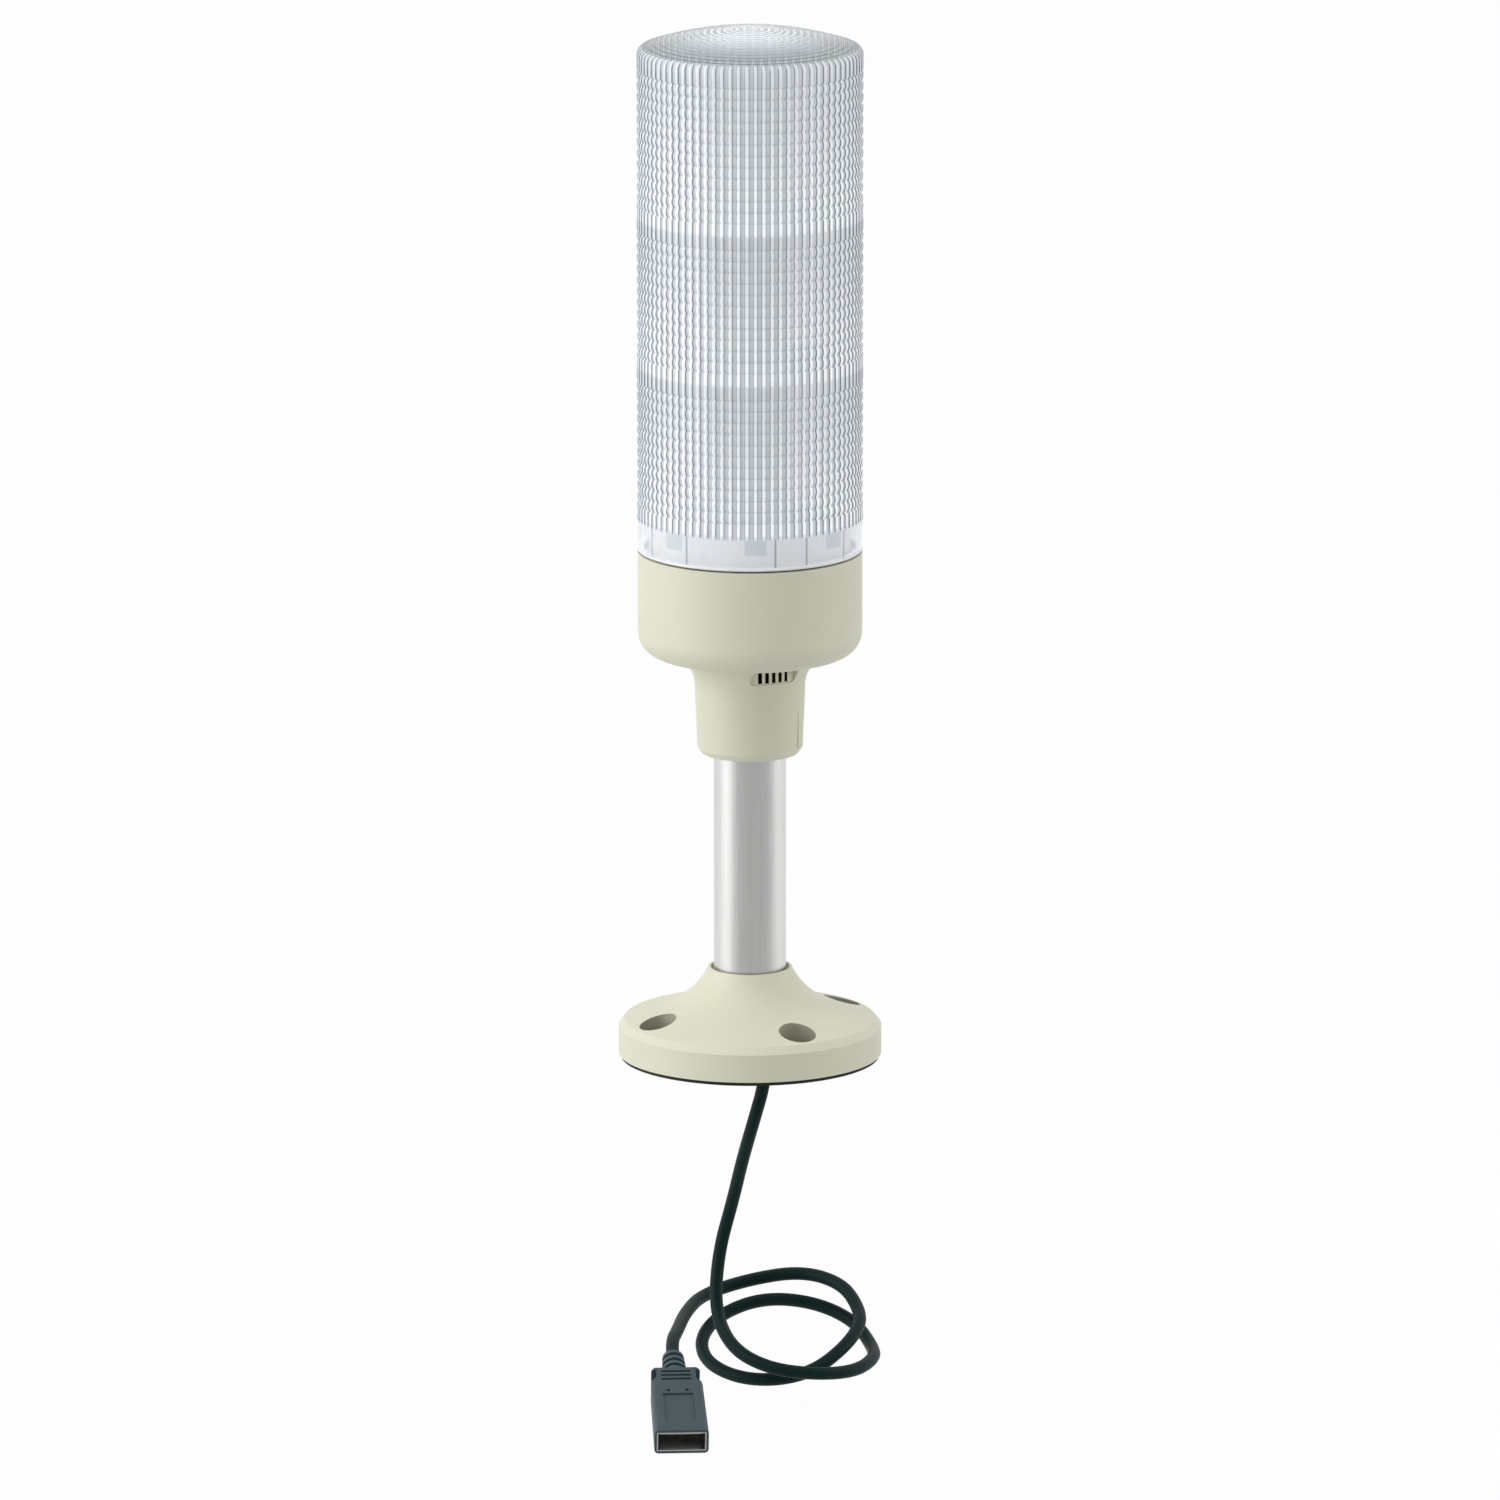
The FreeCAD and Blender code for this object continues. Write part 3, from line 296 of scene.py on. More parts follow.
# %% Route of the lead
CORD_DIAMETER = 0.0035
ROUTE = [
    (4.15, 0.0, 0.0),
    (4.15, 0.0, -7.0),
    (1.0, -3.0, -19.0),
    (-2.0, -10.5, -31.5),
    (-4.5, -18.5, -44.5),
    (-8.5, -21.5, -60.0),
    (-9.5, -13.0, -74.0),
    (-5.0, 3.5, -80.0),
    (4.5, 11.0, -83.5),
    (17.0, 12.0, -85.0),
    (28.0, 5.5, -86.0),
    (33.5, -6.5, -85.5),
    (33.0, -18.5, -85.5),
    (28.0, -29.5, -81.0),
    (17.0, -35.5, -77.5),
    (3.5, -34.0, -76.0),
    (-8.0, -28.5, -79.0),
    (-13.5, -18.5, -83.0),
    (-12.0, -7.0, -86.5),
    (-4.0, 2.0, -88.5),
    (6.5, 5.5, -88.5),
    (17.0, 3.5, -86.5),
    (25.0, -3.5, -82.0),
    (29.5, -13.0, -78.5),
    (29.5, -21.5, -76.0),
    (25.0, -32.0, -71.5),
    (14.0, -39.5, -70.0),
    (-0.5, -40.0, -72.5),
    (-13.0, -31.5, -74.5),
    (-17.5, -16.0, -75.5),
    (-19.5, 1.0, -76.0),
    (-21.0, 12.0, -76.0),
    (-20.5, 20.0, -78.5),
]
print("lead points:", len(ROUTE))

# %% [markdown]
# The route is written as the camera sees it: across the view, towards the camera and above the
# base, in millimetres. A curve object with a round bevel makes the cable from it, because a curve
# stays a curve, with its own length and bends, where a swept mesh would only be faces.


# %% Lead
def from_view(across, towards, height):
    """Turns a place across, towards and above the view, in millimetres, into the part's frame."""
    x = across * math.cos(VIEW_TURN) + towards * math.sin(VIEW_TURN)
    y = across * math.sin(VIEW_TURN) - towards * math.cos(VIEW_TURN)
    return Vector((x, y, height)) / 1000


def lead_curve(name, points, diameter):
    """A round cable of even thickness along a smooth curve of low order."""
    data = bpy.data.curves.new(name, "CURVE")
    data.dimensions = "3D"
    spline = data.splines.new("NURBS")
    spline.points.add(len(points) - 1)
    for control, point in zip(spline.points, points):
        control.co = (*point, 1)
        control.radius = diameter / 2
    spline.order_u = 3
    spline.use_endpoint_u = True
    spline.resolution_u = 10
    data.bevel_depth = 1.0
    data.bevel_resolution = 6
    data.use_fill_caps = True
    thing = bpy.data.objects.new(name, data)
    scene.collection.objects.link(thing)
    return thing


lead = lead_curve("lead", [from_view(*place) for place in ROUTE], CORD_DIAMETER)
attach(lead, "stand")
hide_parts("cord")
print("lead leaves the base at", [round(v, 4) for v in from_view(*ROUTE[0])])

# %% [markdown]
# The sheath is smooth dark plastic with a faint green cast. It isn't a mirror: fine drag marks
# from the extruder break up its shine.

# %% Lead's finish
sheath = Finish("lead_sheath", Specular_IOR_Level=0.12)
drag = sheath.grain(0.0009, 3.0)
sheath.put(
    Base_Color=sheath.mix(sheath.grain(0.012), colour(6, 32, 31), colour(14, 43, 42)),
    Roughness=0.42 + drag * 0.16,
    Normal=sheath.bump(drag, 0.00004, 0.6),
)
lead.data.materials.append(sheath.material)
dress("inner_cord", sheath)
print("lead finished")

# %% [markdown]
# The lens is one clear tube. Outside it has a rounded rib for every few degrees, and each tier
# crosses them with fine grooves, so that the ribs break into rows of beads. Boolean cuts would be
# slow here. The wall is a grid of rings instead, and each ring's radius is a sum: the tube's
# radius, less the valley between two ribs, less the groove that runs round.

# %% Ribs
lens_low, lens_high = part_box("lens")
RIBS = 84
RIB_SHAPE = ((0.02, 1.0), (0.1, 0.12), (0.3, 0.0), (0.5, 0.12), (0.58, 1.0))
RIB_DEPTH = 0.00045


def ring_points(height, radius, ribbed):
    """One ring of the grid, drawn in by the valleys where the ribs show."""
    points = []
    for rib in range(RIBS):
        for share, depth in RIB_SHAPE:
            angle = 2 * math.pi * (rib + share) / RIBS
            reach = radius - RIB_DEPTH * depth * ribbed
            points.append((reach * math.cos(angle), reach * math.sin(angle), height))
    return points


print("lens from", round(lens_low.z, 5), "to", round(lens_high.z, 5), "with", RIBS, "ribs")

# %% [markdown]
# A ring is its height, its radius and how strongly the ribs show on it. The wall starts with a
# smooth skirt, and then come three tiers of beads. Each row of beads takes five rings: the bottom
# of the groove under it, the two edges of its top, and a flank on either side.

# %% Rings of the wall
LENS_RADIUS = lens_high.x
SKIRT_RADIUS = LENS_RADIUS - 0.0002
SKIRT_TOP = lens_low.z + 0.0083
FOOT_HEIGHT = 0.0009
FOOT_GAP = 0.0001
WALL_START = lens_low.z + FOOT_HEIGHT + FOOT_GAP
RIB_EASE = ((0.0003, 0.4), (0.0007, 1))
GROOVE_PITCH = 0.003
GROOVE_DEPTH = 0.00048
BEAD_SHAPE = ((0.0, 1.0), (0.12, 0.74), (0.32, 0.1), (0.68, 0.1), (0.88, 0.74))
TIERS = ((0.1509, 11), (0.1911, 11), (0.2311, 12))
TIER_EASE = 0.0003


def wall_rings():
    """The rings from the skirt to the rim."""
    rings = [
        (WALL_START, SKIRT_RADIUS - FOOT_GAP, 0),
        (WALL_START + FOOT_GAP, SKIRT_RADIUS, 0),
        (SKIRT_TOP, SKIRT_RADIUS, 0),
    ]
    rings += [(SKIRT_TOP + rise, LENS_RADIUS, shown) for rise, shown in RIB_EASE]
    for start, count in TIERS:
        rings.append((start - TIER_EASE, LENS_RADIUS, 1))
        for number in range(count):
            for share, depth in BEAD_SHAPE:
                height = start + GROOVE_PITCH * (number + share)
                rings.append((height, LENS_RADIUS - GROOVE_DEPTH * depth, 1))
        end = start + GROOVE_PITCH * count
        rings += [(end, LENS_RADIUS - GROOVE_DEPTH, 1), (end + TIER_EASE, LENS_RADIUS, 1)]
    return rings


print("rings of the wall:", len(wall_rings()))

# %% [markdown]
# The roof is moulded with the wall. The ribs run out over a rounded corner, and the crown is a
# very low dome with fine rings and a small flat in its middle. The dome's height at a point
# follows from its top, its bend and how far out the point lies.

# %% Rings of the crown
CORNER = 0.0021
CROWN_RISE = 0.0046
CROWN_BEND = (LENS_RADIUS - CORNER) ** 2 / (2 * CROWN_RISE) + CROWN_RISE / 2
CROWN_STEPS = 12
CROWN_START = 0.0272
CROWN_PITCH = 0.0017
CROWN_FLANK = 0.0005
CROWN_DIP = 0.00016
FLAT_EDGE = 0.0035
FLAT_RADIUS = 0.0016
FLAT_DIP = 0.00012
RIM = lens_high.z - CROWN_RISE


def dome_height(top, bend, radius):
    """The height of a dome at a distance from its axis."""
    return top - bend + math.sqrt(bend**2 - radius**2)


def crown_ring(radius, dip=0.0):
    """One ring of the crown, lower than its dome where a fine groove runs."""
    return dome_height(lens_high.z, CROWN_BEND, radius) - dip, radius, 0


def crown_rings():
    """The rim's corner, where the ribs run out, and the low crown with its fine rings."""
    rings = []
    for turn in range(0, 91, 18):
        angle = math.radians(turn)
        radius = LENS_RADIUS - CORNER + CORNER * math.cos(angle)
        height = RIM - CORNER + CORNER * math.sin(angle)
        rings.append((height, radius, 1 - (turn / 90) ** 2))
    for number in range(CROWN_STEPS):
        outer = CROWN_START - number * CROWN_PITCH
        rings += [crown_ring(outer, CROWN_DIP), crown_ring(outer - CROWN_FLANK)]
    return rings + [crown_ring(FLAT_EDGE), crown_ring(FLAT_RADIUS, FLAT_DIP)]


print("rings of the crown:", len(crown_rings()))

# %% [markdown]
# The bore is plain, with the same kind of roof and corner, so a few rings are enough for it. It is
# listed from the top down, so that its last ring lies beside the first ring of the wall.

# %% Rings of the bore
LENS_BORE = 0.028
ROOF = 0.002
ROOF_RINGS = (0.012, 0.022)
WALL_MIDDLE = 0.21


def inner_rings():
    """The bore, from the middle of its roof down to the foot."""
    across = LENS_BORE - CORNER
    bend = across**2 / (2 * CROWN_RISE) + CROWN_RISE / 2
    rings = [
        (dome_height(lens_high.z - ROOF, bend, radius), radius, 0)
        for radius in (FLAT_RADIUS, *ROOF_RINGS, across)
    ]
    for turn in (60, 30, 0):
        angle = math.radians(turn)
        height = RIM - ROOF - CORNER + CORNER * math.sin(angle)
        rings.append((height, across + CORNER * math.cos(angle), 0))
    return rings + [(WALL_MIDDLE, LENS_BORE, 0), (WALL_START, LENS_BORE, 0)]


print("rings of the bore:", len(inner_rings()))

# %% [markdown]
# The grid is skinned ring by ring. All its rings have the same number of points, so the outside,
# the bore and later the foot are made by the same few lines. A fan of triangles closes each roof,
# and one row of faces joins wall and bore at the foot.


# %% Tube from rings
def join_rings(mesh, rings):
    """Skins a list of rings, each a list of points."""
    rows = [[mesh.verts.new(point) for point in ring] for ring in rings]
    count = len(rows[0])
    for lower, upper in zip(rows, rows[1:]):
        for index in range(count):
            after = (index + 1) % count
            mesh.faces.new((lower[index], lower[after], upper[after], upper[index]))
    return rows


def lens_mesh():
    """The whole tube: its outside, its bore, and the faces that close them."""
    mesh = bmesh.new()
    outer_rows = join_rings(mesh, [ring_points(*ring) for ring in wall_rings() + crown_rings()])
    inner_rows = join_rings(mesh, [ring_points(*ring) for ring in inner_rings()])
    for rim in (outer_rows[-1], inner_rows[0]):
        middle = sum((vertex.co for vertex in rim), Vector()) / len(rim)
        hub = mesh.verts.new(middle)
        for first, second in zip(rim, rim[1:] + rim[:1]):
            mesh.faces.new((first, second, hub))
    count = len(outer_rows[0])
    for index in range(count):
        after = (index + 1) % count
        corners = (inner_rows[-1][index], inner_rows[-1][after])
        mesh.faces.new((*corners, outer_rows[0][after], outer_rows[0][index]))
    return mesh


lens_form = lens_mesh()
print("tube:", len(lens_form.faces), "faces")

# %% [markdown]
# Inside the skirt are the lugs that go under the collar's tracks when the lens is twisted on. They
# are moulded with the tube, so they are part of its mesh.

# %% Lugs
LUGS = 4
LUG_DEPTH = 0.00105
LUG_LOW = 0.0006
LUG_HIGH = 0.0022
LUG_START = 22.5
LUG_WIDTH = 18


def curved_block(mesh, inner, outer, low, high, middle, width, parts=8):
    """A block bent round the axis."""
    sections = []
    for number in range(parts + 1):
        angle = math.radians(middle + width * (number / parts - 0.5))
        turn = Vector((math.cos(angle), math.sin(angle), 0))
        corners = [(inner, low), (outer, low), (outer, high), (inner, high)]
        sections.append([
            mesh.verts.new(turn * radius + Vector((0, 0, height))) for radius, height in corners
        ])
    for near, far in zip(sections, sections[1:]):
        for index in range(4):
            after = (index + 1) % 4
            mesh.faces.new((near[index], near[after], far[after], far[index]))
    mesh.faces.new(sections[0])
    mesh.faces.new(list(reversed(sections[-1])))


for number in range(LUGS):
    curved_block(
        lens_form,
        inner=LENS_BORE - LUG_DEPTH,
        outer=LENS_BORE,
        low=lens_low.z + LUG_LOW,
        high=lens_low.z + LUG_HIGH,
        middle=LUG_START + number * 360 / LUGS,
        width=LUG_WIDTH,
    )
print("tube with its", LUGS, "lugs:", len(lens_form.faces), "faces")

# %% [markdown]
# Clear plastic is hard to show: with nothing behind it, it is only its edges. So its finish has to
# know where each form lies. A mask is a number from 0 to 1 at each point of the surface, and here
# it is worked out from the point's height, its distance from the axis and its bearing. Noise
# couldn't follow the ribs, and the masks share the sizes that made the mesh.

# %% Where the forms of the lens lie
SOFT = 0.0002
CROWN_EDGE = 0.0285
LAND_SOFT = 0.08
LAND_MIDDLE = 0.3
FLANK_OFF = 0.24
FLANK_LINE = (0.01, 0.055)
GROOVE_LINE = (0.7, 1.0)
clear = Finish("clear_plastic", IOR=1.49, Emission_Strength=1.0)
east, north, up = clear.axes()
reach = (east ** 2.0 + north ** 2.0) ** 0.5
bearing = clear.add("ShaderNodeMath", {"operation": "ARCTAN2"}, {0: north, 1: east})


def share_round(count, turn=0.0):
    """How far along its own part a point is, from 0 to 1, with so many parts round the axis."""
    return (bearing * (count / (2 * math.pi)) + (count + turn)).fraction()


rib_share = share_round(RIBS)
on_land = rib_share.between(RIB_SHAPE[0][0], RIB_SHAPE[-1][0], LAND_SOFT)
on_flank = (rib_share - LAND_MIDDLE).size().near(FLANK_OFF, *FLANK_LINE)
near_groove = 0.0
for start, count in TIERS:
    in_tier = up.between(start - SOFT, start + GROOVE_PITCH * count + SOFT, SOFT)
    near_groove = near_groove + in_tier * (up - start).lines(GROOVE_PITCH, *GROOVE_LINE)
on_outside = reach.step(LENS_BORE + SOFT, LENS_BORE + 2 * SOFT)
over_skirt = up.step(SKIRT_TOP, SKIRT_TOP + 2 * SOFT)
inside_rim = 1 - reach.step(CROWN_EDGE, CROWN_EDGE + 2 * SOFT)
on_crown = up.step(RIM - 3 * SOFT, RIM + SOFT) * inside_rim
print("masks of the lens:", len(clear.tree.nodes), "nodes")

# %% [markdown]
# Each rib is a light land with a darker channel beside it, and its two flanks are thin dark lines,
# because they turn the light away. These lights and darks are painted light and painted shade. The
# grooves cross them more faintly. So the wall is most transparent on a land and least on a flank.
# Real clear plastic also passes on light from all round the room, and a painted glow on the lands
# stands for that. It is strongest low in a tier and weakest under the white disc that closes the
# tier at its top, which leaves a painted shadow of the disc.

# %% Look of the ribbed wall
BAND_LIGHT = 0.0036
BAND_EASE = 0.0005
LAND_ALPHA = 0.7
CHANNEL_ALPHA = 0.74
FLANK_ALPHA = 0.84
GROOVE_ALPHA = 0.04
low_in_tier = 0.0
for start, count in TIERS:
    over_band = up.step(start - BAND_LIGHT, start - BAND_LIGHT + BAND_EASE)
    low_in_tier = low_in_tier + over_band * (1 - up.step(start, start + GROOVE_PITCH * count))

land_colour = clear.mix(near_groove, colour(200, 204, 208), colour(188, 193, 198))
channel_colour = clear.mix(near_groove, colour(186, 192, 198), colour(176, 183, 190))
between_flanks = clear.mix(on_land, channel_colour, land_colour)
ribs_colour = clear.mix(on_flank, between_flanks, colour(104, 114, 125))

# The glow is painted light, and it dims under each tier's disc as painted shade.
bead_glow = clear.mix(low_in_tier, colour(176, 180, 184), colour(212, 215, 218))
groove_glow = clear.mix(low_in_tier, colour(158, 162, 166), colour(182, 186, 190))
land_glow = clear.mix(near_groove, bead_glow, groove_glow)
channel_glow = clear.mix(near_groove, colour(126, 131, 135), colour(110, 115, 120))
between_glow = clear.mix(on_land, channel_glow, land_glow)
ribs_glow = clear.mix(on_flank, between_glow, colour(56, 61, 67))

ribs_alpha = on_land.choose(LAND_ALPHA, CHANNEL_ALPHA) + near_groove * GROOVE_ALPHA
ribs_alpha = on_flank.choose(FLANK_ALPHA, ribs_alpha)
print("with the ribbed wall:", len(clear.tree.nodes), "nodes")

# %% [markdown]
# The skirt has no ribs, so what lies behind it shows: the edges of the collar's tracks as thin
# upright lines, and the lugs as faint grey blocks. Thick clear plastic bends the light and shows
# them enlarged. This wall doesn't bend light, so they are drawn in its finish. A painted glow, as
# on the ribs, stands for the light that the skirt passes on.

# %% Look of the skirt
TRACK_TURN = 0.1
TRACK_EDGES = (0.131, 0.42, 0.942)
TRACK_LINE = (0.002, 0.009)
TRACK_ALPHA = 0.2
LUG_MARKS = 8
LUG_TURN = 0.044
LUG_MARK = (0.115, 0.13)
LUG_LEVEL = lens_low.z + 0.0042
LUG_EASE = 0.0003
SKIRT_ALPHA = 0.62
track_share = share_round(LUGS, TRACK_TURN)
on_track = 0.0
for share in TRACK_EDGES:
    on_track = on_track + track_share.near(share, *TRACK_LINE)
on_lug = share_round(LUG_MARKS, LUG_TURN).near(0.5, *LUG_MARK)
on_lug = on_lug * up.step(LUG_LEVEL, LUG_LEVEL + LUG_EASE)

plain_colour = clear.mix(on_lug, colour(214, 218, 222), colour(196, 202, 209))
skirt_colour = clear.mix(on_track, plain_colour, colour(134, 143, 152))
plain_glow = clear.mix(on_lug, colour(148, 152, 156), colour(128, 133, 140))
skirt_glow = clear.mix(on_track, plain_glow, colour(92, 97, 102))
skirt_alpha = SKIRT_ALPHA + on_track * TRACK_ALPHA
print("with the skirt:", len(clear.tree.nodes), "nodes")

# %% [markdown]
# The crown's fine rings are lighter than the plastic between them in the middle of the crown, as
# painted highlights, and darker near its rim, where the plastic between them darkens too, as
# painted shade. The distance from the axis turns one look into the other. The crown's glow is
# painted light.

# %% Look of the crown
CROWN_MIDDLE = 0.004
CROWN_LINE = (0.6, 0.9)
CROWN_ALPHA = 0.46
LINE_ALPHA = 0.3
crown_line = reach.lines(CROWN_PITCH, *CROWN_LINE)
outward = reach.step(CROWN_MIDDLE, CROWN_EDGE)

flat_colour = clear.mix(outward, colour(194, 203, 208), colour(128, 141, 146))
line_colour = clear.mix(outward, colour(226, 232, 235), colour(76, 89, 95))
crown_colour = clear.mix(crown_line, flat_colour, line_colour)
flat_glow = clear.mix(outward, colour(100, 107, 110), colour(86, 93, 96))
line_glow = clear.mix(outward, colour(170, 176, 179), colour(20, 24, 26))
crown_glow = clear.mix(crown_line, flat_glow, line_glow)
crown_alpha = CROWN_ALPHA + crown_line * LINE_ALPHA
print("with the crown:", len(clear.tree.nodes), "nodes")

# %% [markdown]
# The masks now choose between the looks. The many small ribs would glitter, so the wall's normal
# leans towards the plain direction away from the axis, and the highlights stay long and calm. The
# bore is almost left out, because the wall's look already stands for both of its sides.

# %% Clear plastic
WALL_CALM = 0.55
BORE_ALPHA = 0.05
wall_colour = clear.mix(over_skirt, skirt_colour, ribs_colour)
wall_glow = clear.mix(over_skirt, skirt_glow, ribs_glow)
wall_alpha = on_outside.choose(over_skirt.choose(ribs_alpha, skirt_alpha), BORE_ALPHA)
clear.put(
    Base_Color=clear.mix(on_crown, wall_colour, crown_colour),
    Emission_Color=clear.mix(on_crown, wall_glow, crown_glow),
    Roughness=0.08 + clear.grain(0.006) * 0.08,
    Normal=clear.mix(on_crown.choose(0.0, WALL_CALM), clear.facing(), clear.from_axis()),
    Alpha=on_crown.choose(crown_alpha, wall_alpha),
)
print("clear plastic:", len(clear.tree.nodes), "nodes")

# %% [markdown]
# A new piece needs a material, the body that it rides on, and the solid that it stands for, if
# there is one. A lens of clear plastic throws next to no shadow, so this one throws none.


# %% Lens
def as_piece(name, mesh, body, finish, replaced=()):
    """Makes an object of a mesh and fixes it to its body."""
    bmesh.ops.recalc_face_normals(mesh, faces=mesh.faces)
    data = bpy.data.meshes.new(name)
    mesh.to_mesh(data)
    mesh.free()
    for face in data.polygons:
        face.use_smooth = True
    thing = bpy.data.objects.new(name, data)
    scene.collection.objects.link(thing)
    data.materials.append(finish.material)
    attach(thing, body)
    if replaced:
        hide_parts(*replaced)
    print(name, len(data.polygons), "faces")
    return thing


lens_piece = as_piece("lens_clear", lens_form, "lens", clear, ["lens"])
lens_piece.visible_shadow = False

# %% [markdown]
# The lens stands on a thick foot. Light gathers in it, so it shows as a white line over the dark
# joint with the housing. Its near-white colour is painted light.

# %% Foot of the lens
FOOT_ROUND = 0.0003
# The foot's near-white colour is painted light, standing for the light gathered in it.
lit_foot = Finish("painted_light_foot", IOR=1.49, Specular_IOR_Level=0.5)
lit_foot.put(
    Base_Color=lit_foot.mix(lit_foot.grain(0.004), colour(238, 241, 244), colour(250, 251, 252)),
    Roughness=0.2 + lit_foot.grain(0.001) * 0.1,
)


def foot_form():
    """A ring with a rounded outer edge, as wide as the lens's wall."""
    mesh = bmesh.new()
    foot_top = lens_low.z + FOOT_HEIGHT
    profile = [
        (LENS_BORE, lens_low.z),
        (SKIRT_RADIUS - FOOT_ROUND, lens_low.z),
        (SKIRT_RADIUS, lens_low.z + FOOT_ROUND),
        (SKIRT_RADIUS, foot_top - FOOT_ROUND),
        (SKIRT_RADIUS - FOOT_ROUND, foot_top),
        (LENS_BORE, foot_top),
    ]
    rings = [ring_points(height, radius, 0) for radius, height in profile]
    rows = join_rings(mesh, rings + [rings[0]])
    bmesh.ops.remove_doubles(mesh, verts=rows[0] + rows[-1], dist=1e-7)
    return mesh


as_piece("lens_foot", foot_form(), "lens", lit_foot)

# %% [markdown]
# The housing and the base are moulded in ivory plastic with a fine satin skin. Such mouldings
# look flat until light grazes them, so the skin gets a very small grain, and the colour drifts
# slightly, as old ivory plastic does. The counterbores and the sound slots get painted shade.

# %% Ivory mouldings
HOLE_REACH = 0.0275
HOLE_RADIUS = 0.0049
HOLE_EDGE = 0.00008
SLOT_WALL = 0.0148
SLOT_FADE = (0.0002, 0.00005)
SLOT_LEVEL = 0.1042
LEVEL_FADE = 0.0001


def painted_shade_in_holes(finish):
    """1 on the walls and floors of the counterbores, which get painted shade."""
    east, north, _ = (axis.size() for axis in finish.axes())
    right = (east - HOLE_REACH) ** 2.0 + north ** 2.0
    front = east ** 2.0 + (north - HOLE_REACH) ** 2.0
    off_middle = right.least(front) ** 0.5
    return 1 - off_middle.step(HOLE_RADIUS - HOLE_EDGE, HOLE_RADIUS + HOLE_EDGE)


def painted_shade_in_slots(finish):
    """1 inside the sound slots, which lie just under the bowl and get painted shade."""
    east, north, up = finish.axes()
    reach = (east ** 2.0 + north ** 2.0) ** 0.5
    behind_wall = 1 - reach.step(SLOT_WALL - SLOT_FADE[0], SLOT_WALL - SLOT_FADE[1])
    return behind_wall * up.step(SLOT_LEVEL - LEVEL_FADE, SLOT_LEVEL)


def ivory_finish(name, shade_mask, shade):
    """Satin ivory with painted shade where its holes or slots are."""
    finish = Finish(name, Specular_IOR_Level=0.4)
    fine = finish.grain(0.0005, 2.0)
    skin = finish.mix(finish.grain(0.03, 3.0), colour(222, 221, 199), colour(229, 228, 207))
    return finish.put(
        Base_Color=finish.mix(shade_mask(finish), skin, shade),
        Roughness=0.42 + fine * 0.12,
        Normal=finish.bump(fine, 0.00002, 0.35),
    )


# The counterbores of the base get a painted shade colour.
dress("base", ivory_finish("ivory_base", painted_shade_in_holes, colour(108, 106, 85)))
# The sound slots under the bowl get a painted shade colour.
dress("housing", ivory_finish("ivory_housing", painted_shade_in_slots, colour(60, 58, 46)))
print("mouldings dressed")

# %% [markdown]
# The pole is drawn aluminium tube. Its finish runs along the tube: fine lines from the die, which
# stretch the highlights upright. Noise squeezed along the height gives them.

# %% Aluminium pole
LINE_SCALE = 2600.0
ALONG_POLE = (1.0, 1.0, 0.02)
drawn = Finish("drawn_aluminium", Metallic=1.0)
scaled = {0: drawn.place(), 1: ALONG_POLE}
squeeze = drawn.add("ShaderNodeVectorMath", {"operation": "MULTIPLY"}, scaled)
noise = {"Vector": squeeze, "Scale": LINE_SCALE, "Detail": 3.0}
lines = drawn.add("ShaderNodeTexNoise", {}, noise)
drawn.put(
    Base_Color=drawn.mix(lines, colour(205, 204, 203), colour(226, 225, 224)),
    Roughness=0.3 + lines * 0.14,
    Normal=drawn.bump(lines, 0.00001, 0.3),
)
dress("pole", drawn)
print("pole dressed")

# %% [markdown]
# The rest is small: rubber, white and black mouldings, boards, lamps, plated metal. Each gets its
# own finish, because the skirt is clear and the plug's mouth is open.


# %% Small finishes
def plain_finish(name, first, second, size, rough, swing, depth=0.0, **fixed):
    """A finish whose colour, gloss and skin vary a little with soft noise."""
    finish = Finish(name, **fixed)
    noise = finish.grain(size, 3.0)
    finish.put(Base_Color=finish.mix(noise, first, second), Roughness=rough + noise * swing)
    if depth:
        finish.put(Normal=finish.bump(noise, depth, 0.5))
    return finish


rubber = plain_finish(
    "black_rubber", colour(20, 21, 17), colour(34, 35, 29),
    size=0.0008, rough=0.7, swing=0.2, depth=0.00004,
)
white = plain_finish(
    "white_moulding", colour(226, 229, 230), colour(236, 238, 239),
    size=0.002, rough=0.4, swing=0.1, depth=0.00002,
)
black = plain_finish(
    "black_moulding", colour(24, 25, 26), colour(34, 35, 36),
    size=0.001, rough=0.45, swing=0.15, depth=0.00002,
)
green = plain_finish(
    "green_board", colour(18, 84, 48), colour(26, 104, 62),
    size=0.004, rough=0.25, swing=0.12, depth=0.00001,
)
pale = plain_finish(
    "pale_board", colour(222, 226, 224), colour(236, 238, 236),
    size=0.004, rough=0.28, swing=0.12, depth=0.00001,
)
lamp = plain_finish(
    "lamp_resin", colour(226, 222, 196), colour(238, 236, 220),
    size=0.0012, rough=0.15, swing=0.1, depth=0.00001,
)
steel = plain_finish(
    "plated_steel", colour(176, 177, 179), colour(206, 207, 209),
    size=0.0006, rough=0.24, swing=0.16, Metallic=1.0,
)
gilt = plain_finish(
    "gilt_strip", colour(206, 166, 84), colour(226, 190, 110),
    size=0.0006, rough=0.22, swing=0.12, Metallic=1.0,
)
can = plain_finish(
    "aluminium_can", colour(190, 192, 194), colour(212, 213, 215),
    size=0.001, rough=0.3, swing=0.12, Metallic=1.0,
)
moulding = plain_finish(
    "plug_moulding", colour(52, 70, 75), colour(65, 83, 88),
    size=0.0007, rough=0.46, swing=0.18, depth=0.00003,
)
print("small finishes ready")

# %% [markdown]
# A small solid keeps its shape and takes the finish of what it is made of.

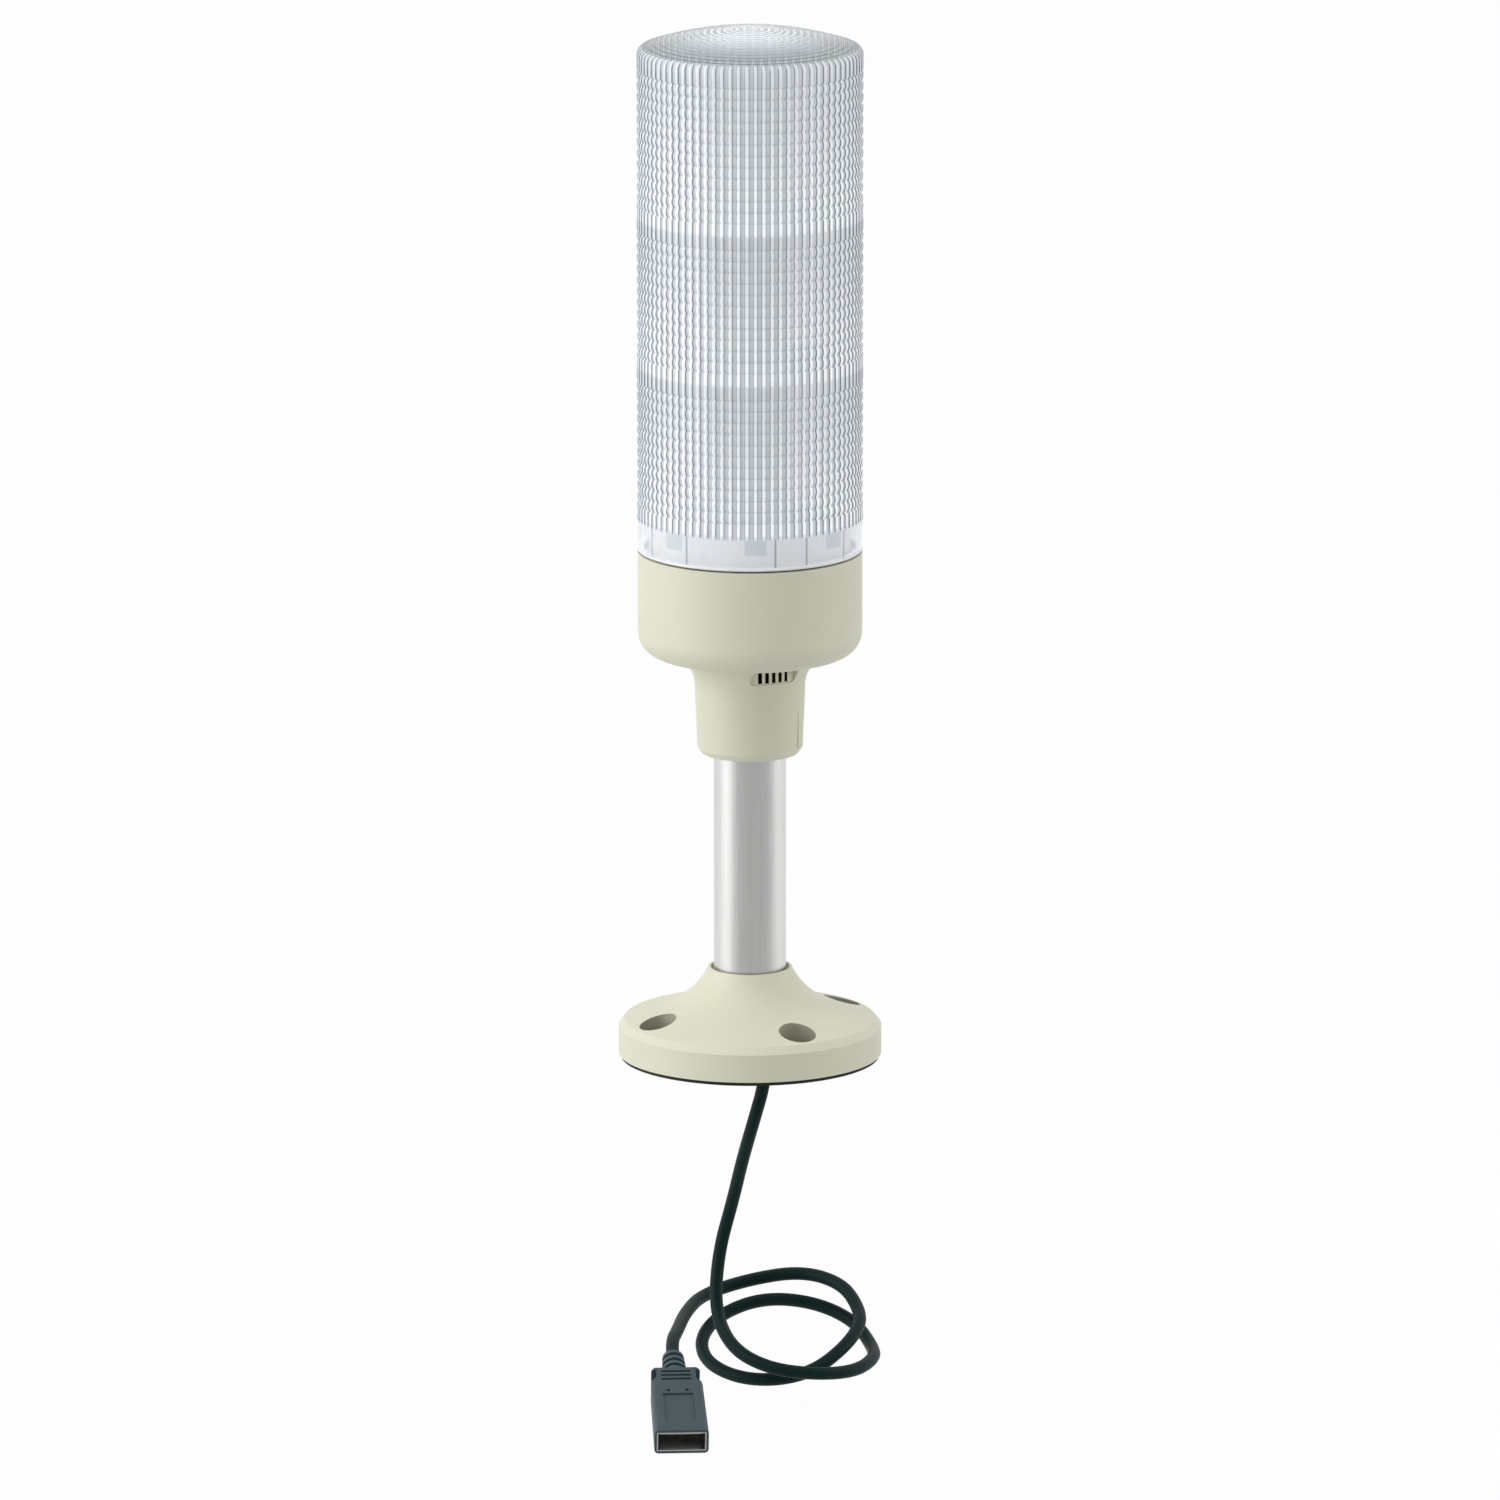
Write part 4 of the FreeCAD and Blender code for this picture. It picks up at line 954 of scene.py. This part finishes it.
# %% Dress the small parts
for finish, names in (
    (rubber, ("base_gasket", "lens_seal")),
    (white, ("lens_collar", "divider_bottom", "divider_top", "cord_connector", "plug_tongue")),
    (black, ("pole_bush", "board_socket", "main_chip", "buzzer")),
    (green, ("control_board",)),
    (pale, ("led_board",)),
    (lamp, ("leds_bottom", "leds_middle", "leds_top")),
    (steel, ("pole_screws", "collar_screws", "board_screws", "plug_shell")),
    (gilt, ("plug_contacts",)),
    (can, ("capacitor",)),
    (moulding, ("plug_body", "strain_relief")),
):
    for name in names:
        dress(name, finish)
print("small parts dressed")

# %% [markdown]

print("lead ready")

# %% [markdown]
# The picture has a white ground. The floor is a large plain sheet just below the lead. It shows
# white to the camera and in mirrors, apart from a small share that keeps the object's shadow.

# %% Floor
FLOOR = -0.0955
FLOOR_REACH = 6
floor_mesh = bmesh.new()
bmesh.ops.create_grid(floor_mesh, x_segments=1, y_segments=1, size=FLOOR_REACH)
bmesh.ops.translate(floor_mesh, verts=floor_mesh.verts, vec=(0, 0, FLOOR))
floor_data = bpy.data.meshes.new("floor")
floor_mesh.to_mesh(floor_data)
floor_mesh.free()
floor = bpy.data.objects.new("floor", floor_data)
scene.collection.objects.link(floor)
print("floor at", FLOOR)

# %% [markdown]
# The floor's finish mixes a plain grey surface, which takes the shadow, with a white glow. Light
# paths decide how much of each a ray meets. The glow itself has a white and a dimmer side, for
# mirrors only.

# %% White ground
WHITE_SHARE = 0.97
GROUND_COLOUR = (0.66, 0.66, 0.66, 1)
DIM_SHARE = 0.44
DIM_EDGES = (-0.09, 0.74)
DIM_TURN = math.radians(12)
ground = Finish("white_ground", Base_Color=GROUND_COLOUR, Roughness=0.9)
dim_side = direction(VIEW_TURN + DIM_TURN)
spot = ground.add("ShaderNodeNewGeometry")
aim = {0: spot, 1: tuple(dim_side)}
near_side = ground.add("ShaderNodeVectorMath", {"operation": "DOT_PRODUCT"}, aim, "Value")
far_off = ground.add("ShaderNodeVectorMath", {"operation": "LENGTH"}, {0: spot}, "Value")
seen, mirrored, through = ground.rays("Camera", "Glossy", "Transmission")
in_dim = mirrored * (near_side / far_off).step(*DIM_EDGES)
white_glow, dim_glow = (
    ground.add("ShaderNodeEmission", {}, {"Color": (1, 1, 1, 1), "Strength": strength})
    for strength in (1.0, 1 - DIM_SHARE)
)
glow = ground.add("ShaderNodeMixShader", {}, {0: in_dim, 1: white_glow, 2: dim_glow})
share = (seen + mirrored + through).clamp() * WHITE_SHARE
surface = Wire(ground, ground.surface.outputs[0])
blend = ground.add("ShaderNodeMixShader", {}, {0: share, 1: surface, 2: glow})
ground.feed(ground.tree.nodes["Material Output"].inputs["Surface"], blend)
floor_data.materials.append(ground.material)
print("ground:", len(ground.tree.nodes), "nodes")

# %% [markdown]
# A studio isn't evenly white. The camera sees a white ground, but a mirror that faces the camera's
# own side sees a dimmer room, which gives the polished pole its dark middle. Floor and world dim
# alike, because the pole mirrors both. The world also lights the object a little, most from above.

# %% World
LIT_LEAST = 0.22
LIT_MORE_ABOVE = 0.34
world = bpy.data.worlds.new("studio")
scene.world = world
world.use_nodes = True
sky = Graph(world.node_tree)
looking = sky.add("ShaderNodeTexCoord")
aim = {0: looking, 1: tuple(dim_side)}
toward = sky.add("ShaderNodeVectorMath", {"operation": "DOT_PRODUCT"}, aim, "Value")
rise = sky.add("ShaderNodeSeparateXYZ", {}, {0: looking}, "Z")
seen, mirrored, through = sky.rays("Camera", "Glossy", "Transmission")
mirror_level = 1 - toward.step(*DIM_EDGES) * DIM_SHARE
lighting_level = LIT_LEAST + rise.step(-0.5, 0.5) * LIT_MORE_ABOVE
shown = (seen + through).clamp()
level = shown.choose(1.0, mirrored.choose(mirror_level, lighting_level))
backdrop = sky.tree.nodes["Background"]
backdrop.inputs["Color"].default_value = (1, 1, 1, 1)
sky.feed(backdrop.inputs["Strength"], level)
print("world ready")

# %% [markdown]
# Three large soft lamps stand in for a window on the left, a weaker one on the right, and a panel
# overhead. The left one is the strongest, so that each round form turns from light to shade.


# %% Lights
LAMP_TARGET = Vector((0, 0, 0.1))


def soft_light(name, turn, pitch, distance, width, height, power):
    """An area lamp aimed at the middle of the light, placed by its angle from the camera."""
    away = direction(VIEW_TURN + math.radians(turn), math.radians(pitch))
    data = bpy.data.lights.new(name, "AREA")
    data.shape = "RECTANGLE"
    data.size, data.size_y = width, height
    data.energy = power
    thing = bpy.data.objects.new(name, data)
    scene.collection.objects.link(thing)
    thing.location = LAMP_TARGET + away * distance
    thing.rotation_mode = "QUATERNION"
    thing.rotation_quaternion = away.to_track_quat("Z", "Y")


soft_light("left_window", turn=-78, pitch=14, distance=1.3, width=0.9, height=1.4, power=9.8)
soft_light("right_window", turn=92, pitch=10, distance=1.4, width=0.8, height=1.2, power=3.6)
soft_light("top_panel", turn=-10, pitch=76, distance=1.4, width=1.2, height=1.2, power=5.0)
scene.view_settings.view_transform = "Standard"
print("stage ready")
